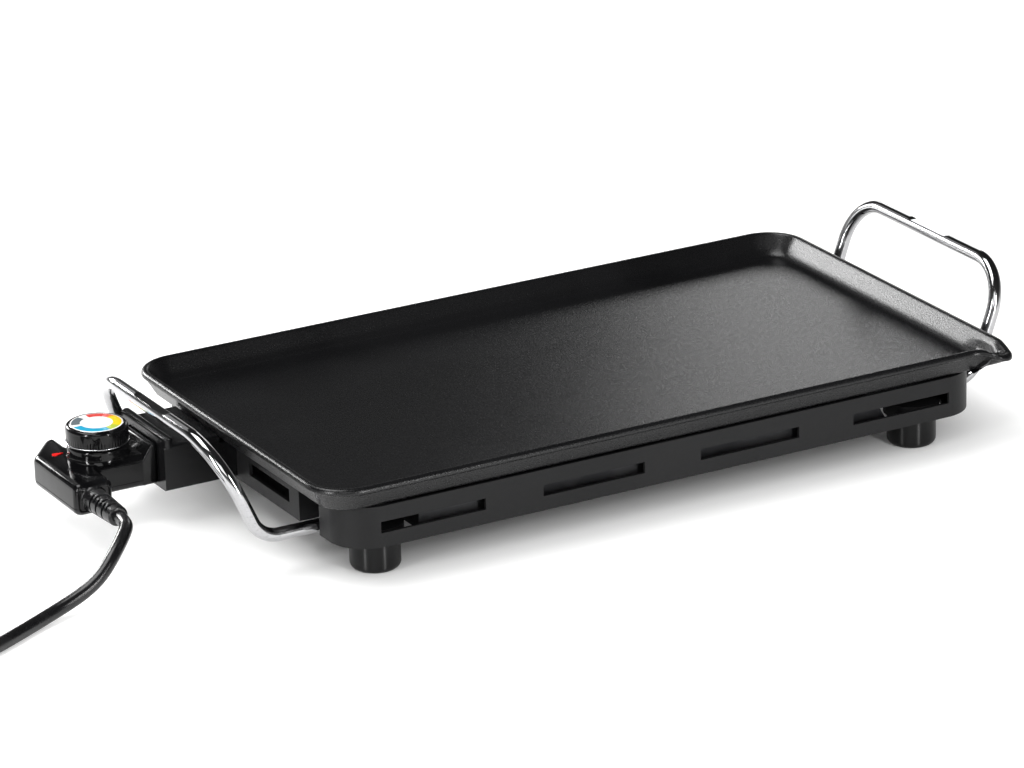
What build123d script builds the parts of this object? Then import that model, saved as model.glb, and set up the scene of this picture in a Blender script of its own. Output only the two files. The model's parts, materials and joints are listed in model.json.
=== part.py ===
from build123d import *
from math import atan2, cos, degrees, pi, radians, sin, sqrt, tan
import os

# An electric table griddle: a cast plate with a pouring corner, bolted to a low base frame
# with four feet and two bent-rod handles. A thermostat plugs into the left side, and its
# cord leaves it towards the front. Millimetres, +Z up, X along the plate, +Y to the far side.
# The middle of the plate is at X 0, Y 0 while the pieces are drawn, and the floor is at Z 0.

# Plate
plate_length = 460.0
plate_depth = 260.0
plate_corner = 26.0
tray_depth = 12.7
floor_thickness = 3.3
lip_height = 3.5
lip_width = 3.8
lip_step = 1.2
outer_wall_lean = 31.0
inner_wall_lean = 33.0
tray_fold_radius = 7.0
underside_edge_radius = 3.5

# Pouring corner of the plate
spout_angle = -62.0
spout_reach = 14.0
spout_tip_radius = 8.0
spout_near_blend = 14.0
spout_far_start = 8.0
spout_drop_start = 24.0
spout_drop_angle = 13.0
spout_rise_start = 20.0
spout_rise_angle = 22.0
spout_channel_radius = 9.0
spout_channel_start = 12.0
spout_channel_sink = 5.8
spout_flank_lean = 20.0

# Base frame
foot_height = 20.0
base_inset_x = 16.5
base_inset_y = 7.0
base_height = 25.0
base_corner = 24.0
base_wall = 2.0
base_flange_width = 15.0
base_flange_thickness = 2.5
notch_width = 25.0
notch_inset = 36.0
notch_depth = 23.0
slot_length = 67.3
slot_height = 6.9
slot_pitch = 105.0
slot_count = 4
slot_shift = -1.4
slot_lift = 8.7
side_slot_length = 51.1
side_slot_height = 8.0
side_slot_middle = -24.0
side_slot_lift = 7.5

# Feet
foot_diameter = 29.6
foot_edge_radius = 4.0
foot_left_inset = 27.7
foot_right_inset = 36.1
foot_inset_y = 22.0
foot_screw_diameter = 4.0
foot_screw_head = 8.0
foot_recess_diameter = 11.0
foot_recess_depth = 12.0
foot_pad_diameter = 34.0
foot_pad_thickness = 8.0

# Plate fixings
fixing_inset_x = 93.5
fixing_inset_y = 21.0
fixing_screw_diameter = 4.0
fixing_screw_head = 7.6
fixing_boss_diameter = 12.0
fixing_boss_height = 4.0
fixing_tab_width = 20.0
fixing_tab_thickness = 3.0

# Handles, each one bent rod
rod_diameter = 8.0
rod_height = 24.0
left_rod_inset = 41.3
left_bar_reach = 59.8
left_bar_z = 81.1
left_lean = 23.6
left_bar_bend = 36.0
right_rod_inset = 40.3
right_bar_reach = 43.4
right_bar_z = 88.9
right_lean = 19.9
right_bar_bend = 28.6
rod_foot_bend = 18.0
grip_flat_length = 40.0
grip_flat_depth = 1.0

# Clamps that hold the rod ends under the base
clamp_length = 9.5
left_clamp_inset = 41.7
right_clamp_inset = 55.5
clamp_inner_margin = 16.7
clamp_outer_margin = 5.3
clamp_drop = 2.0
clamp_block_height = 8.0
clamp_screw_offset = 11.2
clamp_screw_diameter = 4.0
clamp_screw_head = 7.0
rod_end_margin = 1.0

# Heating element and the pieces at its ends
element_diameter = 6.6
element_left_inset = 63.5
element_right_inset = 34.5
element_near_inset = 45.0
element_far_inset = 43.0
element_return_inset = 83.5
element_ramp_low_inset = 17.5
element_ramp_high_inset = 33.5
element_end_reach = 10.5
element_bend = 20.0
element_ramp_bend = 24.0
element_sink = 0.5
rib_width = 12.0
pin_diameter = 4.6
pin_spacing = 18.0
pin_tip_inset = 3.7
earth_pin_diameter = 3.5
earth_pin_drop = 3.8
bead_diameter = 8.4
bead_collar_diameter = 9.4
bead_collar_length = 3.0

# Heat reflector, a sheet pan
reflector_sheet = 0.8
reflector_left_inset = 48.5
reflector_right_inset = 62.5
reflector_inset_y = 7.0
reflector_height = 14.5
reflector_end_lean = 29.0
reflector_screw_inset_x = 113.5
reflector_screw_diameter = 3.0
reflector_screw_head = 6.0
reflector_screw_inset = 5.0

# Thermostat axis and fits
control_y = 47.3
pin_height = 33.0
probe_height = 36.0
plug_fit = 0.4
fit_gap = 0.1
running_gap = 0.05
slide_gap = 0.3
seat_gap = 0.5
thread_hole_clearance = 0.25

# Receptacle on the left side of the base
receptacle_width = 59.4
receptacle_reach = 46.2
receptacle_lift = 1.5
receptacle_height = 27.5
receptacle_lip_length = 6.7
receptacle_lip_height = 5.5
receptacle_partition_inset = 25.7
receptacle_partition = 4.0
receptacle_edge_radius = 1.5
receptacle_cell_near = 15.0
receptacle_cell_far = 14.2
receptacle_cell_height = 16.0
receptacle_screw_y = 24.5
receptacle_screw_spread = 10.0
receptacle_screw_diameter = 3.5
receptacle_screw_head = 6.5
receptacle_screw_length = 13.0

# Guide tube for the temperature probe, and the probe
guide_outer_diameter = 9.2
guide_length = 88.0
guide_boss_length = 20.0
guide_boss_wall = 0.8
probe_diameter = 6.4
probe_length = 118.0
probe_head_inset = 8.0
probe_head_length = 4.0
probe_head_width = 9.0

# Thermostat housing
housing_length = 62.3
block_inner_reach = 38.5
block_near_reach = 42.3
block_far_reach = 38.7
block_chamfer_x = 17.5
block_chamfer_y = 22.0
arm_width = 38.0
housing_bottom = 22.7
housing_top = 42.0
housing_seam = 26.0
housing_wall = 2.5
housing_edge_radius = 3.0
housing_corner_radius = 4.0
flange_length = 3.0
flange_rise = 6.0
flange_slope_length = 6.0
flange_step = 1.0
nose_length = 12.7
nose_width = 34.0
nose_height = 16.0
nose_wall = 1.5
pedestal_diameter = 36.0
pedestal_height = 7.0
outlet_panel_width = 22.0
outlet_panel_height = 15.6
outlet_panel_depth = 0.8
boss_diameter = 7.0
housing_screw_diameter = 2.6
housing_screw_head = 5.4
housing_screw_length = 12.0

# Dial knob
knob_reach = 28.3
knob_diameter = 36.8
knob_gap = 0.4
knob_height = 11.6
knob_wall = 2.2
knob_rib_count = 60
knob_rib_radius = 0.55
knob_rib_height = 8.2
dial_diameter = 33.0
dial_thickness = 0.8
band_drop = 10.0
band_height = 0.8
band_proud = 0.25
band_sink = 0.8
hub_diameter = 12.0
spindle_diameter = 6.0
spindle_length = 25.0
spindle_flat = 1.0
spindle_clip_diameter = 11.0
spindle_clip_thickness = 1.2

# Pieces inside the thermostat
switch_base_length = 20.0
switch_base_width = 26.0
switch_base_height = 3.5
contact_strip_width = 6.0
contact_strip_thickness = 0.6
contact_strip_length = 16.0
contact_rivet_diameter = 3.0
socket_outer_diameter = 7.0
socket_length = 13.0
earth_socket_outer_diameter = 5.2
lens_inset = 11.5
lens_offset_y = 10.9
lens_radius = 1.75
lens_length = 7.0
lens_proud = 0.4
lamp_diameter = 5.0
lamp_length = 12.0
cord_clamp_length = 24.0
cord_clamp_width = 7.0
cord_clamp_height = 4.0
lead_diameter = 2.4
lead_spacing = 4.4
lead_bend = 6.0
cord_end_margin = 1.5

# Cord
cord_diameter = 8.0
cord_exit_inset = 11.3
cord_exit_z = 32.5
relief_length = 33.0
relief_root_diameter = 15.0
relief_tip_diameter = 12.0
relief_neck_diameter = 11.0
relief_collar_diameter = 14.0
relief_collar_thickness = 2.0
relief_slot_width = 2.2
relief_slot_count = 3
relief_slot_pitch = 6.6
relief_web = 2.6

# Route of the cord: X from its exit, Y and Z, chosen by hand
cord_steps = [
    (0.0, -28.0, 32.5),
    (0.0, -39.0, 32.5),
    (-7.5, -51.3, 31.9),
    (-21.0, -64.6, 25.8),
    (-32.0, -70.0, 16.9),
    (-45.6, -72.5, 10.0),
    (-68.0, -76.5, 4.0),
    (-100.0, -95.2, 4.0),
    (-135.0, -113.5, 4.0),
    (-159.0, -128.0, 4.0),
]

# Coil of the spare length, its tie and the plug
coil_outer_radius = 52.5
coil_layer_turn_count = 2
coil_pitch = 8.5
coil_layer_pitch = 8.5
coil_lift = 1.1
coil_tail_length = 46.0
tie_width = 9.0
tie_thickness = 1.0
tie_gap = 0.5
tie_quarter_count = 3
plug_diameter = 38.0
plug_face_thickness = 17.0
plug_grip_length = 26.0
plug_grip_diameter = 25.0
plug_neck_length = 22.0
plug_neck_diameter = 13.0
plug_edge_radius = 2.0
plug_pin_diameter = 4.8
plug_pin_length = 19.0
plug_pin_spacing = 19.0
plug_pin_root = 8.0
plug_pin_root_diameter = 4.0
earth_strip_width = 6.0
earth_strip_thickness = 1.0
earth_strip_length = 15.0

# Heights and places that follow from the sizes above
base_length = plate_length - 2 * base_inset_x
base_depth = plate_depth - 2 * base_inset_y
base_end = base_length / 2
base_side = base_depth / 2
foot_left_x = -(base_end - foot_left_inset)
foot_right_x = base_end - foot_right_inset
foot_y = base_side - foot_inset_y
fixing_x = base_end - fixing_inset_x
fixing_y = base_side - fixing_inset_y
notch_outer = base_side - notch_inset
notch_inner = notch_outer - notch_width
left_rod_y = base_side - left_rod_inset
right_rod_y = base_side - right_rod_inset
left_bar_x = -(base_end + left_bar_reach)
right_bar_x = base_end + right_bar_reach
left_clamp_x = -(base_end - left_clamp_inset)
right_clamp_x = base_end - right_clamp_inset
element_left_x = -(base_end - element_left_inset)
element_right_x = base_end - element_right_inset
element_near_y = -(base_side - element_near_inset)
element_far_y = base_side - element_far_inset
element_return_x = -(base_end - element_return_inset)
element_ramp_low_x = -(base_end - element_ramp_low_inset)
element_ramp_high_x = -(base_end - element_ramp_high_inset)
element_end_x = -(base_end + element_end_reach)
reflector_left_x = -(base_end - reflector_left_inset)
reflector_right_x = base_end - reflector_right_inset
reflector_half_depth = base_side - reflector_inset_y
reflector_screw_x = base_end - reflector_screw_inset_x
base_bottom = foot_height
plate_bottom = base_bottom + base_height
cooking_surface = plate_bottom + floor_thickness
plate_top = cooking_surface + tray_depth
lip_bottom = plate_top - lip_height
element_height = plate_bottom - element_sink - element_diameter / 2
corner_x = plate_length / 2 - plate_corner
corner_y = -(plate_depth / 2 - plate_corner)
receptacle_front_x = -(base_end + receptacle_reach)
receptacle_partition_x = receptacle_front_x + receptacle_partition_inset
pin_tip_x = receptacle_front_x + pin_tip_inset
receptacle_bottom = base_bottom + receptacle_lift
receptacle_top = receptacle_bottom + receptacle_height
arm_end_x = receptacle_front_x - slide_gap
probe_start_x = arm_end_x - probe_head_inset
housing_end_x = arm_end_x - housing_length
block_inner_x = arm_end_x - block_inner_reach
block_near_y = control_y - block_near_reach
block_far_y = control_y + block_far_reach
knob_x = arm_end_x - knob_reach
lens_x = housing_end_x + lens_inset
lens_y = control_y + lens_offset_y
cord_exit_x = housing_end_x + cord_exit_inset
cord_route = [(cord_exit_x + x, y, z) for x, y, z in cord_steps]
nose_middle = pin_height
knob_bottom = housing_top + pedestal_height + knob_gap
knob_top = knob_bottom + knob_height
tab_top = plate_bottom - fixing_boss_height
clamp_bottom = base_bottom - clamp_drop
guide_start_x = receptacle_partition_x
guide_end_x = guide_start_x + guide_length


def box_between(x0, x1, y0, y1, z0, z1):
    """A box from its two corners."""
    middle = ((x0 + x1) / 2, (y0 + y1) / 2, (z0 + z1) / 2)
    return Pos(*middle) * Box(abs(x1 - x0), abs(y1 - y0), abs(z1 - z0))


def post(x, y, z0, z1, diameter):
    """An upright round post."""
    return Pos(x, y, (z0 + z1) / 2) * Cylinder(diameter / 2, abs(z1 - z0))


def rod_x(x0, x1, y, z, diameter):
    """A round rod along X."""
    return Pos((x0 + x1) / 2, y, z) * Rot(0, 90, 0) * Cylinder(diameter / 2, abs(x1 - x0))


def rod_y(x, y0, y1, z, diameter):
    """A round rod along Y."""
    return Pos(x, (y0 + y1) / 2, z) * Rot(90, 0, 0) * Cylinder(diameter / 2, abs(y1 - y0))


def bent_tube(points, radii, diameter):
    """A round tube along straight runs that are joined by tangent arcs."""
    path = FilletPolyline(*points, radius=radii)
    start = Plane(origin=points[0], z_dir=Vector(*points[1]) - Vector(*points[0]))
    return sweep(start * Circle(diameter / 2), path=path), path


# Plate

def rim_outline(inset):
    """The plate's outline, moved in by a distance."""
    size = (plate_length - 2 * inset, plate_depth - 2 * inset)
    return RectangleRounded(*size, plate_corner - inset)


def spout_direction():
    return Vector(cos(radians(spout_angle)), sin(radians(spout_angle)), 0)


def spout_outline(inset):
    """The pouring lobe beyond the corner, as tangent arcs and straight sides."""
    rim_y = -plate_depth / 2
    rim_x = plate_length / 2
    tip = Vector(corner_x, corner_y) + spout_direction() * (plate_corner + spout_reach - spout_tip_radius)
    near_y = rim_y - spout_near_blend
    near_x = tip.X - sqrt((spout_near_blend + spout_tip_radius) ** 2 - (tip.Y - near_y) ** 2)
    far_y = corner_y - spout_far_start
    a = rim_x - tip.X
    b = far_y - tip.Y
    far_radius = (a * a + b * b - spout_tip_radius ** 2) / (2 * (a - spout_tip_radius))
    far_x = rim_x - far_radius
    near_centre = Vector(near_x, near_y)
    far_centre = Vector(far_x, far_y)
    near_join = near_centre + (tip - near_centre).normalized() * (spout_near_blend + inset)
    far_join = far_centre + (tip - far_centre).normalized() * (far_radius - inset)
    near_start = Vector(near_x, rim_y + inset)
    far_end = Vector(rim_x - inset, far_y)
    tip_end = tip + spout_direction() * (spout_tip_radius - inset)
    heart = Vector(corner_x, corner_y)
    edges = [
        TangentArc(near_start, near_join, tangent=(1, 0)),
        ThreePointArc(near_join, tip_end, far_join),
        TangentArc(far_join, far_end, tangent=(far_centre - far_join).rotate(Axis.Z, -90)),
        Line(far_end, heart),
        Line(heart, near_start),
    ]
    return make_face(edges)


def spout_slope(distance, height, angle, reach, side):
    """A block with one face through a line across the spout, sloping along it."""
    start = Vector(corner_x, corner_y, height) + spout_direction() * distance
    block = Pos(0, 0, side * reach / 2) * Box(2 * reach, 2 * reach, reach)
    return Pos(*start) * Rot(0, 0, spout_angle) * Rot(0, -angle, 0) * block


def plate_spout():
    """The pouring lobe: an edge band over a rising underside, open to the tray."""
    reach = plate_length
    band = extrude(Pos(0, 0, lip_bottom - lip_height) * spout_outline(0), 2 * lip_height)
    band -= spout_slope(spout_drop_start, lip_bottom, -spout_drop_angle, reach, -1)
    body = extrude(Pos(0, 0, lip_bottom) * spout_outline(lip_step), plate_bottom - lip_bottom,
                   taper=spout_flank_lean)
    body -= spout_slope(spout_rise_start, plate_bottom, spout_rise_angle, reach, -1)
    return body + band


def spout_channel():
    """The round-bottomed channel from the tray to the tip."""
    length = plate_corner + spout_reach
    height = plate_top - spout_channel_sink + spout_channel_radius
    middle = Vector(corner_x, corner_y, height) + spout_direction() * (spout_channel_start + length)
    rod = Rot(0, 0, spout_angle) * Rot(0, 90, 0) * Cylinder(spout_channel_radius, 2 * length)
    return Pos(*middle) * rod


def element_points(height):
    """The corners of the heating element's loop under the plate."""
    near_end_y = control_y - pin_spacing / 2
    far_end_y = control_y + pin_spacing / 2
    return [
        (element_ramp_high_x, near_end_y, height),
        (element_left_x, near_end_y, height),
        (element_left_x, element_near_y, height),
        (element_right_x, element_near_y, height),
        (element_right_x, element_far_y, height),
        (element_return_x, element_far_y, height),
        (element_left_x, far_end_y, height),
        (element_ramp_high_x, far_end_y, height),
    ]


def plate_rib():
    """The rib under the plate that the heating element is pressed into."""
    height = (plate_bottom + element_height) / 2
    points = element_points(height)
    path = FilletPolyline(*points, radius=element_bend)
    start = Plane(origin=points[0], x_dir=(0, 1, 0), z_dir=(1, 0, 0))
    section = start * Rectangle(rib_width, plate_bottom - element_height)
    rib = sweep(section, path=path)
    groove, _ = bent_tube(element_points(element_height), element_bend, element_diameter)
    return rib, groove


def griddle_plate():
    wall_height = lip_bottom - plate_bottom
    outside = extrude(Pos(0, 0, lip_bottom) * rim_outline(lip_step), -wall_height, taper=outer_wall_lean)
    outside = fillet(outside.edges().group_by(Axis.Z)[0], underside_edge_radius)
    band = extrude(Pos(0, 0, lip_bottom) * rim_outline(0), lip_height)
    body = outside + band + plate_spout()
    body -= spout_slope(spout_drop_start, plate_top, -spout_drop_angle, plate_length, 1)
    tray = extrude(Pos(0, 0, plate_top) * rim_outline(lip_width), -tray_depth, taper=inner_wall_lean)
    tray = fillet(tray.edges().group_by(Axis.Z)[0], tray_fold_radius)
    body -= tray + spout_channel()
    rib, groove = plate_rib()
    body += rib
    body -= groove
    for x, y in fixing_places():
        body += post(x, y, tab_top, plate_bottom, fixing_boss_diameter)
        body -= post(x, y, tab_top, plate_bottom + floor_thickness / 2, fixing_screw_diameter)
    saddle_x = guide_end_x - guide_boss_length
    half = guide_outer_diameter / 2 + guide_boss_wall
    body += box_between(saddle_x, guide_end_x, control_y - half, control_y + half,
                        probe_height, plate_bottom)
    body -= rod_x(saddle_x - 1, guide_end_x + 1, control_y, probe_height, guide_outer_diameter)
    return body


# Base frame and what stands under it

def foot_places():
    """The middle of each foot, by name."""
    places = {}
    for side, x in (("left", foot_left_x), ("right", foot_right_x)):
        for row, y in (("near", -foot_y), ("far", foot_y)):
            places[f"{side}_{row}"] = (x, y)
    return places


def clamp_places():
    """The middle of each clamp and the rod's distance from the middle line, by name."""
    places = {}
    for side, x, rod_y_out in (("left", left_clamp_x, left_rod_y), ("right", right_clamp_x, right_rod_y)):
        for row, sign in (("near", -1), ("far", 1)):
            places[f"{side}_{row}"] = (x, sign, rod_y_out)
    return places


def base_outline(inset):
    """The base frame's plan: a rounded rectangle with a notch for each rod."""
    shape = RectangleRounded(base_length - 2 * inset, base_depth - 2 * inset, base_corner - inset)
    notch_width = notch_outer - notch_inner + 2 * inset
    for sx in (-1, 1):
        for sy in (-1, 1):
            x = sx * (base_length / 2 - notch_depth / 2)
            y = sy * (notch_inner + notch_outer) / 2
            shape -= Pos(x, y) * Rectangle(notch_depth + 2 * inset, notch_width)
    return shape


def base_slots():
    """The air slots: a row on the near and far faces and one on each end."""
    cuts = []
    first_x = slot_shift - slot_pitch * (slot_count - 1) / 2
    z = base_bottom + slot_lift
    for i in range(slot_count):
        x = first_x + i * slot_pitch
        cuts.append(box_between(x - slot_length / 2, x + slot_length / 2,
                                -base_depth, base_depth, z, z + slot_height))
    z = base_bottom + side_slot_lift
    y0 = side_slot_middle - side_slot_length / 2
    cuts.append(box_between(-base_length, base_length, y0, y0 + side_slot_length,
                            z, z + side_slot_height))
    return cuts


def rod_channel(sy, rod_out, end_x):
    """The space that a rod needs where it runs in under the base."""
    fit = rod_diameter / 2 + fit_gap
    y = sy * rod_out
    outer_x = base_length if end_x > 0 else -base_length
    channel = rod_x(end_x, outer_x, y, rod_height, 2 * fit)
    return channel + box_between(end_x, outer_x, y - fit, y + fit, 0, rod_height)


def rod_end_x(side):
    """Where a handle's rod ends, past its clamp."""
    x = left_clamp_x if side == "left" else right_clamp_x
    return x - (clamp_length / 2 - rod_end_margin) * (1 if x > 0 else -1)


def clamp_block(x, sign, rod_out):
    """The block over a clamp, out to the wall of the notch."""
    sx = 1 if x > 0 else -1
    inner_x = x - sx * clamp_length / 2
    outer_x = sx * (base_length / 2 - notch_depth)
    y0 = sign * (rod_out - clamp_inner_margin)
    y1 = sign * (rod_out + clamp_outer_margin)
    return box_between(inner_x, outer_x, y0, y1, rod_height, rod_height + clamp_block_height)


def fixing_places():
    """Where the plate is screwed to the base."""
    return [(sx * fixing_x, sy * fixing_y) for sx in (-1, 1) for sy in (-1, 1)]


def fixing_tab(x, y):
    """A tab on the base wall under a boss of the plate."""
    sy = 1 if y > 0 else -1
    half = fixing_tab_width / 2
    wall_y = sy * (base_depth / 2 - base_wall / 2)
    tip_y = y - sy * fixing_boss_diameter / 2
    return box_between(x - half, x + half, wall_y, tip_y, tab_top - fixing_tab_thickness, tab_top)


def receptacle_cell():
    """The space behind the receptacle's partition, as a box from Y to Y and Z to Z."""
    return (control_y - receptacle_cell_near, control_y + receptacle_cell_far,
            pin_height - receptacle_cell_height / 2, pin_height + receptacle_cell_height / 2)


def receptacle_opening():
    """The hole in the base wall behind the receptacle."""
    y0, y1, z0, z1 = receptacle_cell()
    y1 = min(y1, notch_inner - base_wall)
    return box_between(-base_length / 2 - 1, -base_length / 2 + base_wall + 1, y0, y1, z0, z1)


def receptacle_screw_places():
    """The Y and Z of each screw between the receptacle and the base wall."""
    middle = receptacle_bottom + receptacle_height / 2 - receptacle_lift
    return [(receptacle_screw_y, middle + s * receptacle_screw_spread / 2) for s in (-1, 1)]


def base_frame():
    wall = extrude(Pos(0, 0, base_bottom) * base_outline(0), base_height)
    wall -= extrude(Pos(0, 0, base_bottom) * base_outline(base_wall), base_height)
    inner = RectangleRounded(base_length - 2 * base_flange_width,
                             base_depth - 2 * base_flange_width,
                             base_corner - base_flange_width)
    flange = base_outline(0) - inner
    body = wall + extrude(Pos(0, 0, base_bottom) * flange, base_flange_thickness)
    for cut in base_slots():
        body -= cut
    body -= receptacle_opening()
    for x, y in foot_places().values():
        body += post(x, y, base_bottom, base_bottom + foot_pad_thickness, foot_pad_diameter)
        body -= post(x, y, base_bottom, base_bottom + foot_pad_thickness, foot_screw_diameter)
    for x, y in fixing_places():
        body += fixing_tab(x, y)
        hole = fixing_screw_diameter + 2 * thread_hole_clearance
        body -= post(x, y, tab_top - fixing_tab_thickness, tab_top, hole)
    for x, sign, rod_out in clamp_places().values():
        body += clamp_block(x, sign, rod_out)
        body -= clamp_space(x, sign, rod_out)
        y = sign * (rod_out - clamp_screw_offset)
        body -= post(x, y, clamp_bottom, rod_height + clamp_block_height - 1, clamp_screw_diameter)
    for side, rod_out in (("left", left_rod_y), ("right", right_rod_y)):
        for sy in (-1, 1):
            body -= rod_channel(sy, rod_out, rod_end_x(side))
    for x in reflector_screw_places():
        body -= post(*x, base_bottom, base_bottom + base_flange_thickness, reflector_screw_diameter)
    for y, z in receptacle_screw_places():
        hole = receptacle_screw_diameter + 2 * thread_hole_clearance
        body -= rod_x(-base_length / 2 - 1, -base_length / 2 + base_wall + 1, y, z, hole)
    return body


def foot(x, y):
    shape = post(x, y, 0, foot_height, foot_diameter)
    shape = fillet(shape.edges().group_by(Axis.Z)[0], foot_edge_radius)
    shape -= post(x, y, 0, foot_recess_depth, foot_recess_diameter)
    hole = foot_screw_diameter + 2 * thread_hole_clearance
    return shape - post(x, y, foot_recess_depth, foot_height, hole)


def foot_screw(x, y):
    head_height = foot_screw_diameter / 2
    shank = post(x, y, foot_recess_depth, foot_height + foot_pad_thickness - 1, foot_screw_diameter)
    head = post(x, y, foot_recess_depth - head_height, foot_recess_depth, foot_screw_head)
    return shank + head - screw_slot(x, y, foot_recess_depth - head_height, foot_screw_head)


def screw_slot(x, y, z, head):
    """The cross in the underside of a screw head."""
    arm = head / 7
    cut = box_between(x - head / 3, x + head / 3, y - arm / 2, y + arm / 2, z, z + arm)
    return cut + box_between(x - arm / 2, x + arm / 2, y - head / 3, y + head / 3, z, z + arm)


def fixing_screw(x, y):
    """A screw from below through a tab into a boss of the plate."""
    under = tab_top - fixing_tab_thickness
    head_height = fixing_screw_diameter / 2
    shank = post(x, y, under, plate_bottom + floor_thickness / 3, fixing_screw_diameter)
    head = post(x, y, under - head_height, under, fixing_screw_head)
    return shank + head - screw_slot(x, y, under - head_height, fixing_screw_head)


def clamp_shape(x, sign, rod_out, grow):
    """The outer box of a clamp, or with some growth the space round it."""
    y0 = sign * (rod_out - clamp_inner_margin - grow)
    y1 = sign * (rod_out + clamp_outer_margin + grow)
    half = clamp_length / 2 + grow
    return box_between(x - half, x + half, y0, y1, clamp_bottom, rod_height)


def clamp_space(x, sign, rod_out):
    return clamp_shape(x, sign, rod_out, fit_gap)


def handle_clamp(x, sign, rod_out):
    """A saddle that holds a rod end up against its block."""
    shape = clamp_shape(x, sign, rod_out, 0)
    half = clamp_length / 2
    shape -= rod_x(x - half - 1, x + half + 1, sign * rod_out, rod_height, rod_diameter)
    y = sign * (rod_out - clamp_screw_offset)
    return shape - post(x, y, clamp_bottom, rod_height, clamp_screw_diameter + 2 * thread_hole_clearance)


def clamp_screws():
    """One screw for each clamp, from below."""
    screws = None
    for x, sign, rod_out in clamp_places().values():
        y = sign * (rod_out - clamp_screw_offset)
        top = rod_height + clamp_block_height - 2
        head_height = clamp_screw_diameter / 2
        screw = post(x, y, clamp_bottom, top, clamp_screw_diameter)
        screw += post(x, y, clamp_bottom - head_height, clamp_bottom, clamp_screw_head)
        screw -= screw_slot(x, y, clamp_bottom - head_height, clamp_screw_head)
        screws = screw if screws is None else screws + screw
    return screws


def handle(side):
    """A rod bent into a grip, with a flat on top of the bar."""
    sx, rod_out, bar_x, bar_z, lean, bend = {
        "left": (-1, left_rod_y, left_bar_x, left_bar_z, left_lean, left_bar_bend),
        "right": (1, right_rod_y, right_bar_x, right_bar_z, right_lean, right_bar_bend),
    }[side]
    knee_x = bar_x - sx * (bar_z - rod_height) * tan(radians(lean))
    end_x = rod_end_x(side)
    points = [
        (end_x, -rod_out, rod_height),
        (knee_x, -rod_out, rod_height),
        (bar_x, -rod_out, bar_z),
        (bar_x, rod_out, bar_z),
        (knee_x, rod_out, rod_height),
        (end_x, rod_out, rod_height),
    ]
    radii = [rod_foot_bend, bend, bend, rod_foot_bend]
    rod, _ = bent_tube(points, radii, rod_diameter)
    top = bar_z + rod_diameter / 2
    half = grip_flat_length / 2
    flat = box_between(bar_x - rod_diameter, bar_x + rod_diameter, -half, half, top - grip_flat_depth, top + 1)
    return rod - flat


def heat_reflector():
    """A sheet pan under the element, with one leaning end."""
    floor_z = base_bottom + base_flange_thickness
    top_z = floor_z + reflector_height
    pan = reflector_block(0, floor_z, top_z)
    pan -= reflector_block(reflector_sheet, floor_z + reflector_sheet, top_z + 1)
    half = guide_outer_diameter / 2 + 2 * reflector_sheet
    low = probe_height - half
    pan -= box_between(reflector_left_x - 1, reflector_left_x + 2 * reflector_sheet,
                       control_y - half, control_y + half, low, top_z + 1)
    for x, y in reflector_screw_places():
        hole = reflector_screw_diameter + 2 * thread_hole_clearance
        pan -= post(x, y, floor_z, floor_z + reflector_sheet, hole)
    return pan


def reflector_block(inset, z0, z1):
    """The pan's outer or inner block, with its leaning right end."""
    lean = tan(radians(reflector_end_lean))
    base_z = base_bottom + base_flange_thickness
    left = reflector_left_x + inset
    right_low = reflector_right_x - inset - (z0 - base_z) * lean
    right_high = reflector_right_x - inset - (z1 - base_z) * lean
    side = make_face(Polyline((left, z0), (right_low, z0), (right_high, z1), (left, z1), close=True))
    face = Plane.XZ.offset(-(reflector_half_depth - inset)) * side
    return extrude(face, 2 * (reflector_half_depth - inset))


def reflector_screw_places():
    """Where the reflector is screwed to the base flange."""
    y = reflector_half_depth - reflector_screw_inset
    return [(sx * reflector_screw_x, sy * y) for sx in (-1, 1) for sy in (-1, 1)]


def reflector_screws():
    screws = None
    top = base_bottom + base_flange_thickness + reflector_sheet
    for x, y in reflector_screw_places():
        screw = post(x, y, base_bottom, top, reflector_screw_diameter)
        screw += post(x, y, top, top + reflector_screw_diameter / 2, reflector_screw_head)
        screws = screw if screws is None else screws + screw
    return screws


# Heating element

def heating_element():
    near_y = control_y - pin_spacing / 2
    far_y = control_y + pin_spacing / 2
    loop = element_points(element_height)
    start = [(element_end_x, near_y, pin_height), (element_ramp_low_x, near_y, pin_height)]
    finish = [(element_ramp_low_x, far_y, pin_height), (element_end_x, far_y, pin_height)]
    radii = [element_ramp_bend] * 2 + [element_bend] * 6 + [element_ramp_bend] * 2
    tube, _ = bent_tube(start + loop + finish, radii, element_diameter)
    return tube


def insulator_bead(sign):
    """A ceramic bead on one end of the element, seated in the partition."""
    y = control_y + sign * pin_spacing / 2
    seat_x = receptacle_partition_x + receptacle_partition
    bead = rod_x(receptacle_partition_x - 1, element_end_x, y, pin_height, bead_diameter)
    bead += rod_x(seat_x, seat_x + bead_collar_length, y, pin_height, bead_collar_diameter)
    return bead - rod_x(receptacle_partition_x - 2, element_end_x + 1, y, pin_height, pin_diameter)


def element_pin(sign):
    """The contact pin on one end of the element, with a round tip."""
    y = control_y + sign * pin_spacing / 2
    pin = rod_x(pin_tip_x, element_end_x, y, pin_height, pin_diameter)
    return fillet(pin.edges().group_by(Axis.X)[0], pin_diameter / 3)


def earth_pin():
    z = pin_height - earth_pin_drop
    pin = rod_x(pin_tip_x, receptacle_partition_x + receptacle_partition + 2, control_y, z, earth_pin_diameter)
    return fillet(pin.edges().group_by(Axis.X)[0], earth_pin_diameter / 3)


# Receptacle

def receptacle_box(x0, x1, z1):
    half = receptacle_width / 2
    return box_between(x0, x1, control_y - half, control_y + half, receptacle_bottom, z1)


def receptacle_step_x():
    """Where the receptacle's top steps down to pass under the plate's outer wall."""
    inset = lip_step + (lip_bottom - receptacle_top) * tan(radians(outer_wall_lean))
    return -(plate_length / 2 - inset + seat_gap)


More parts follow.
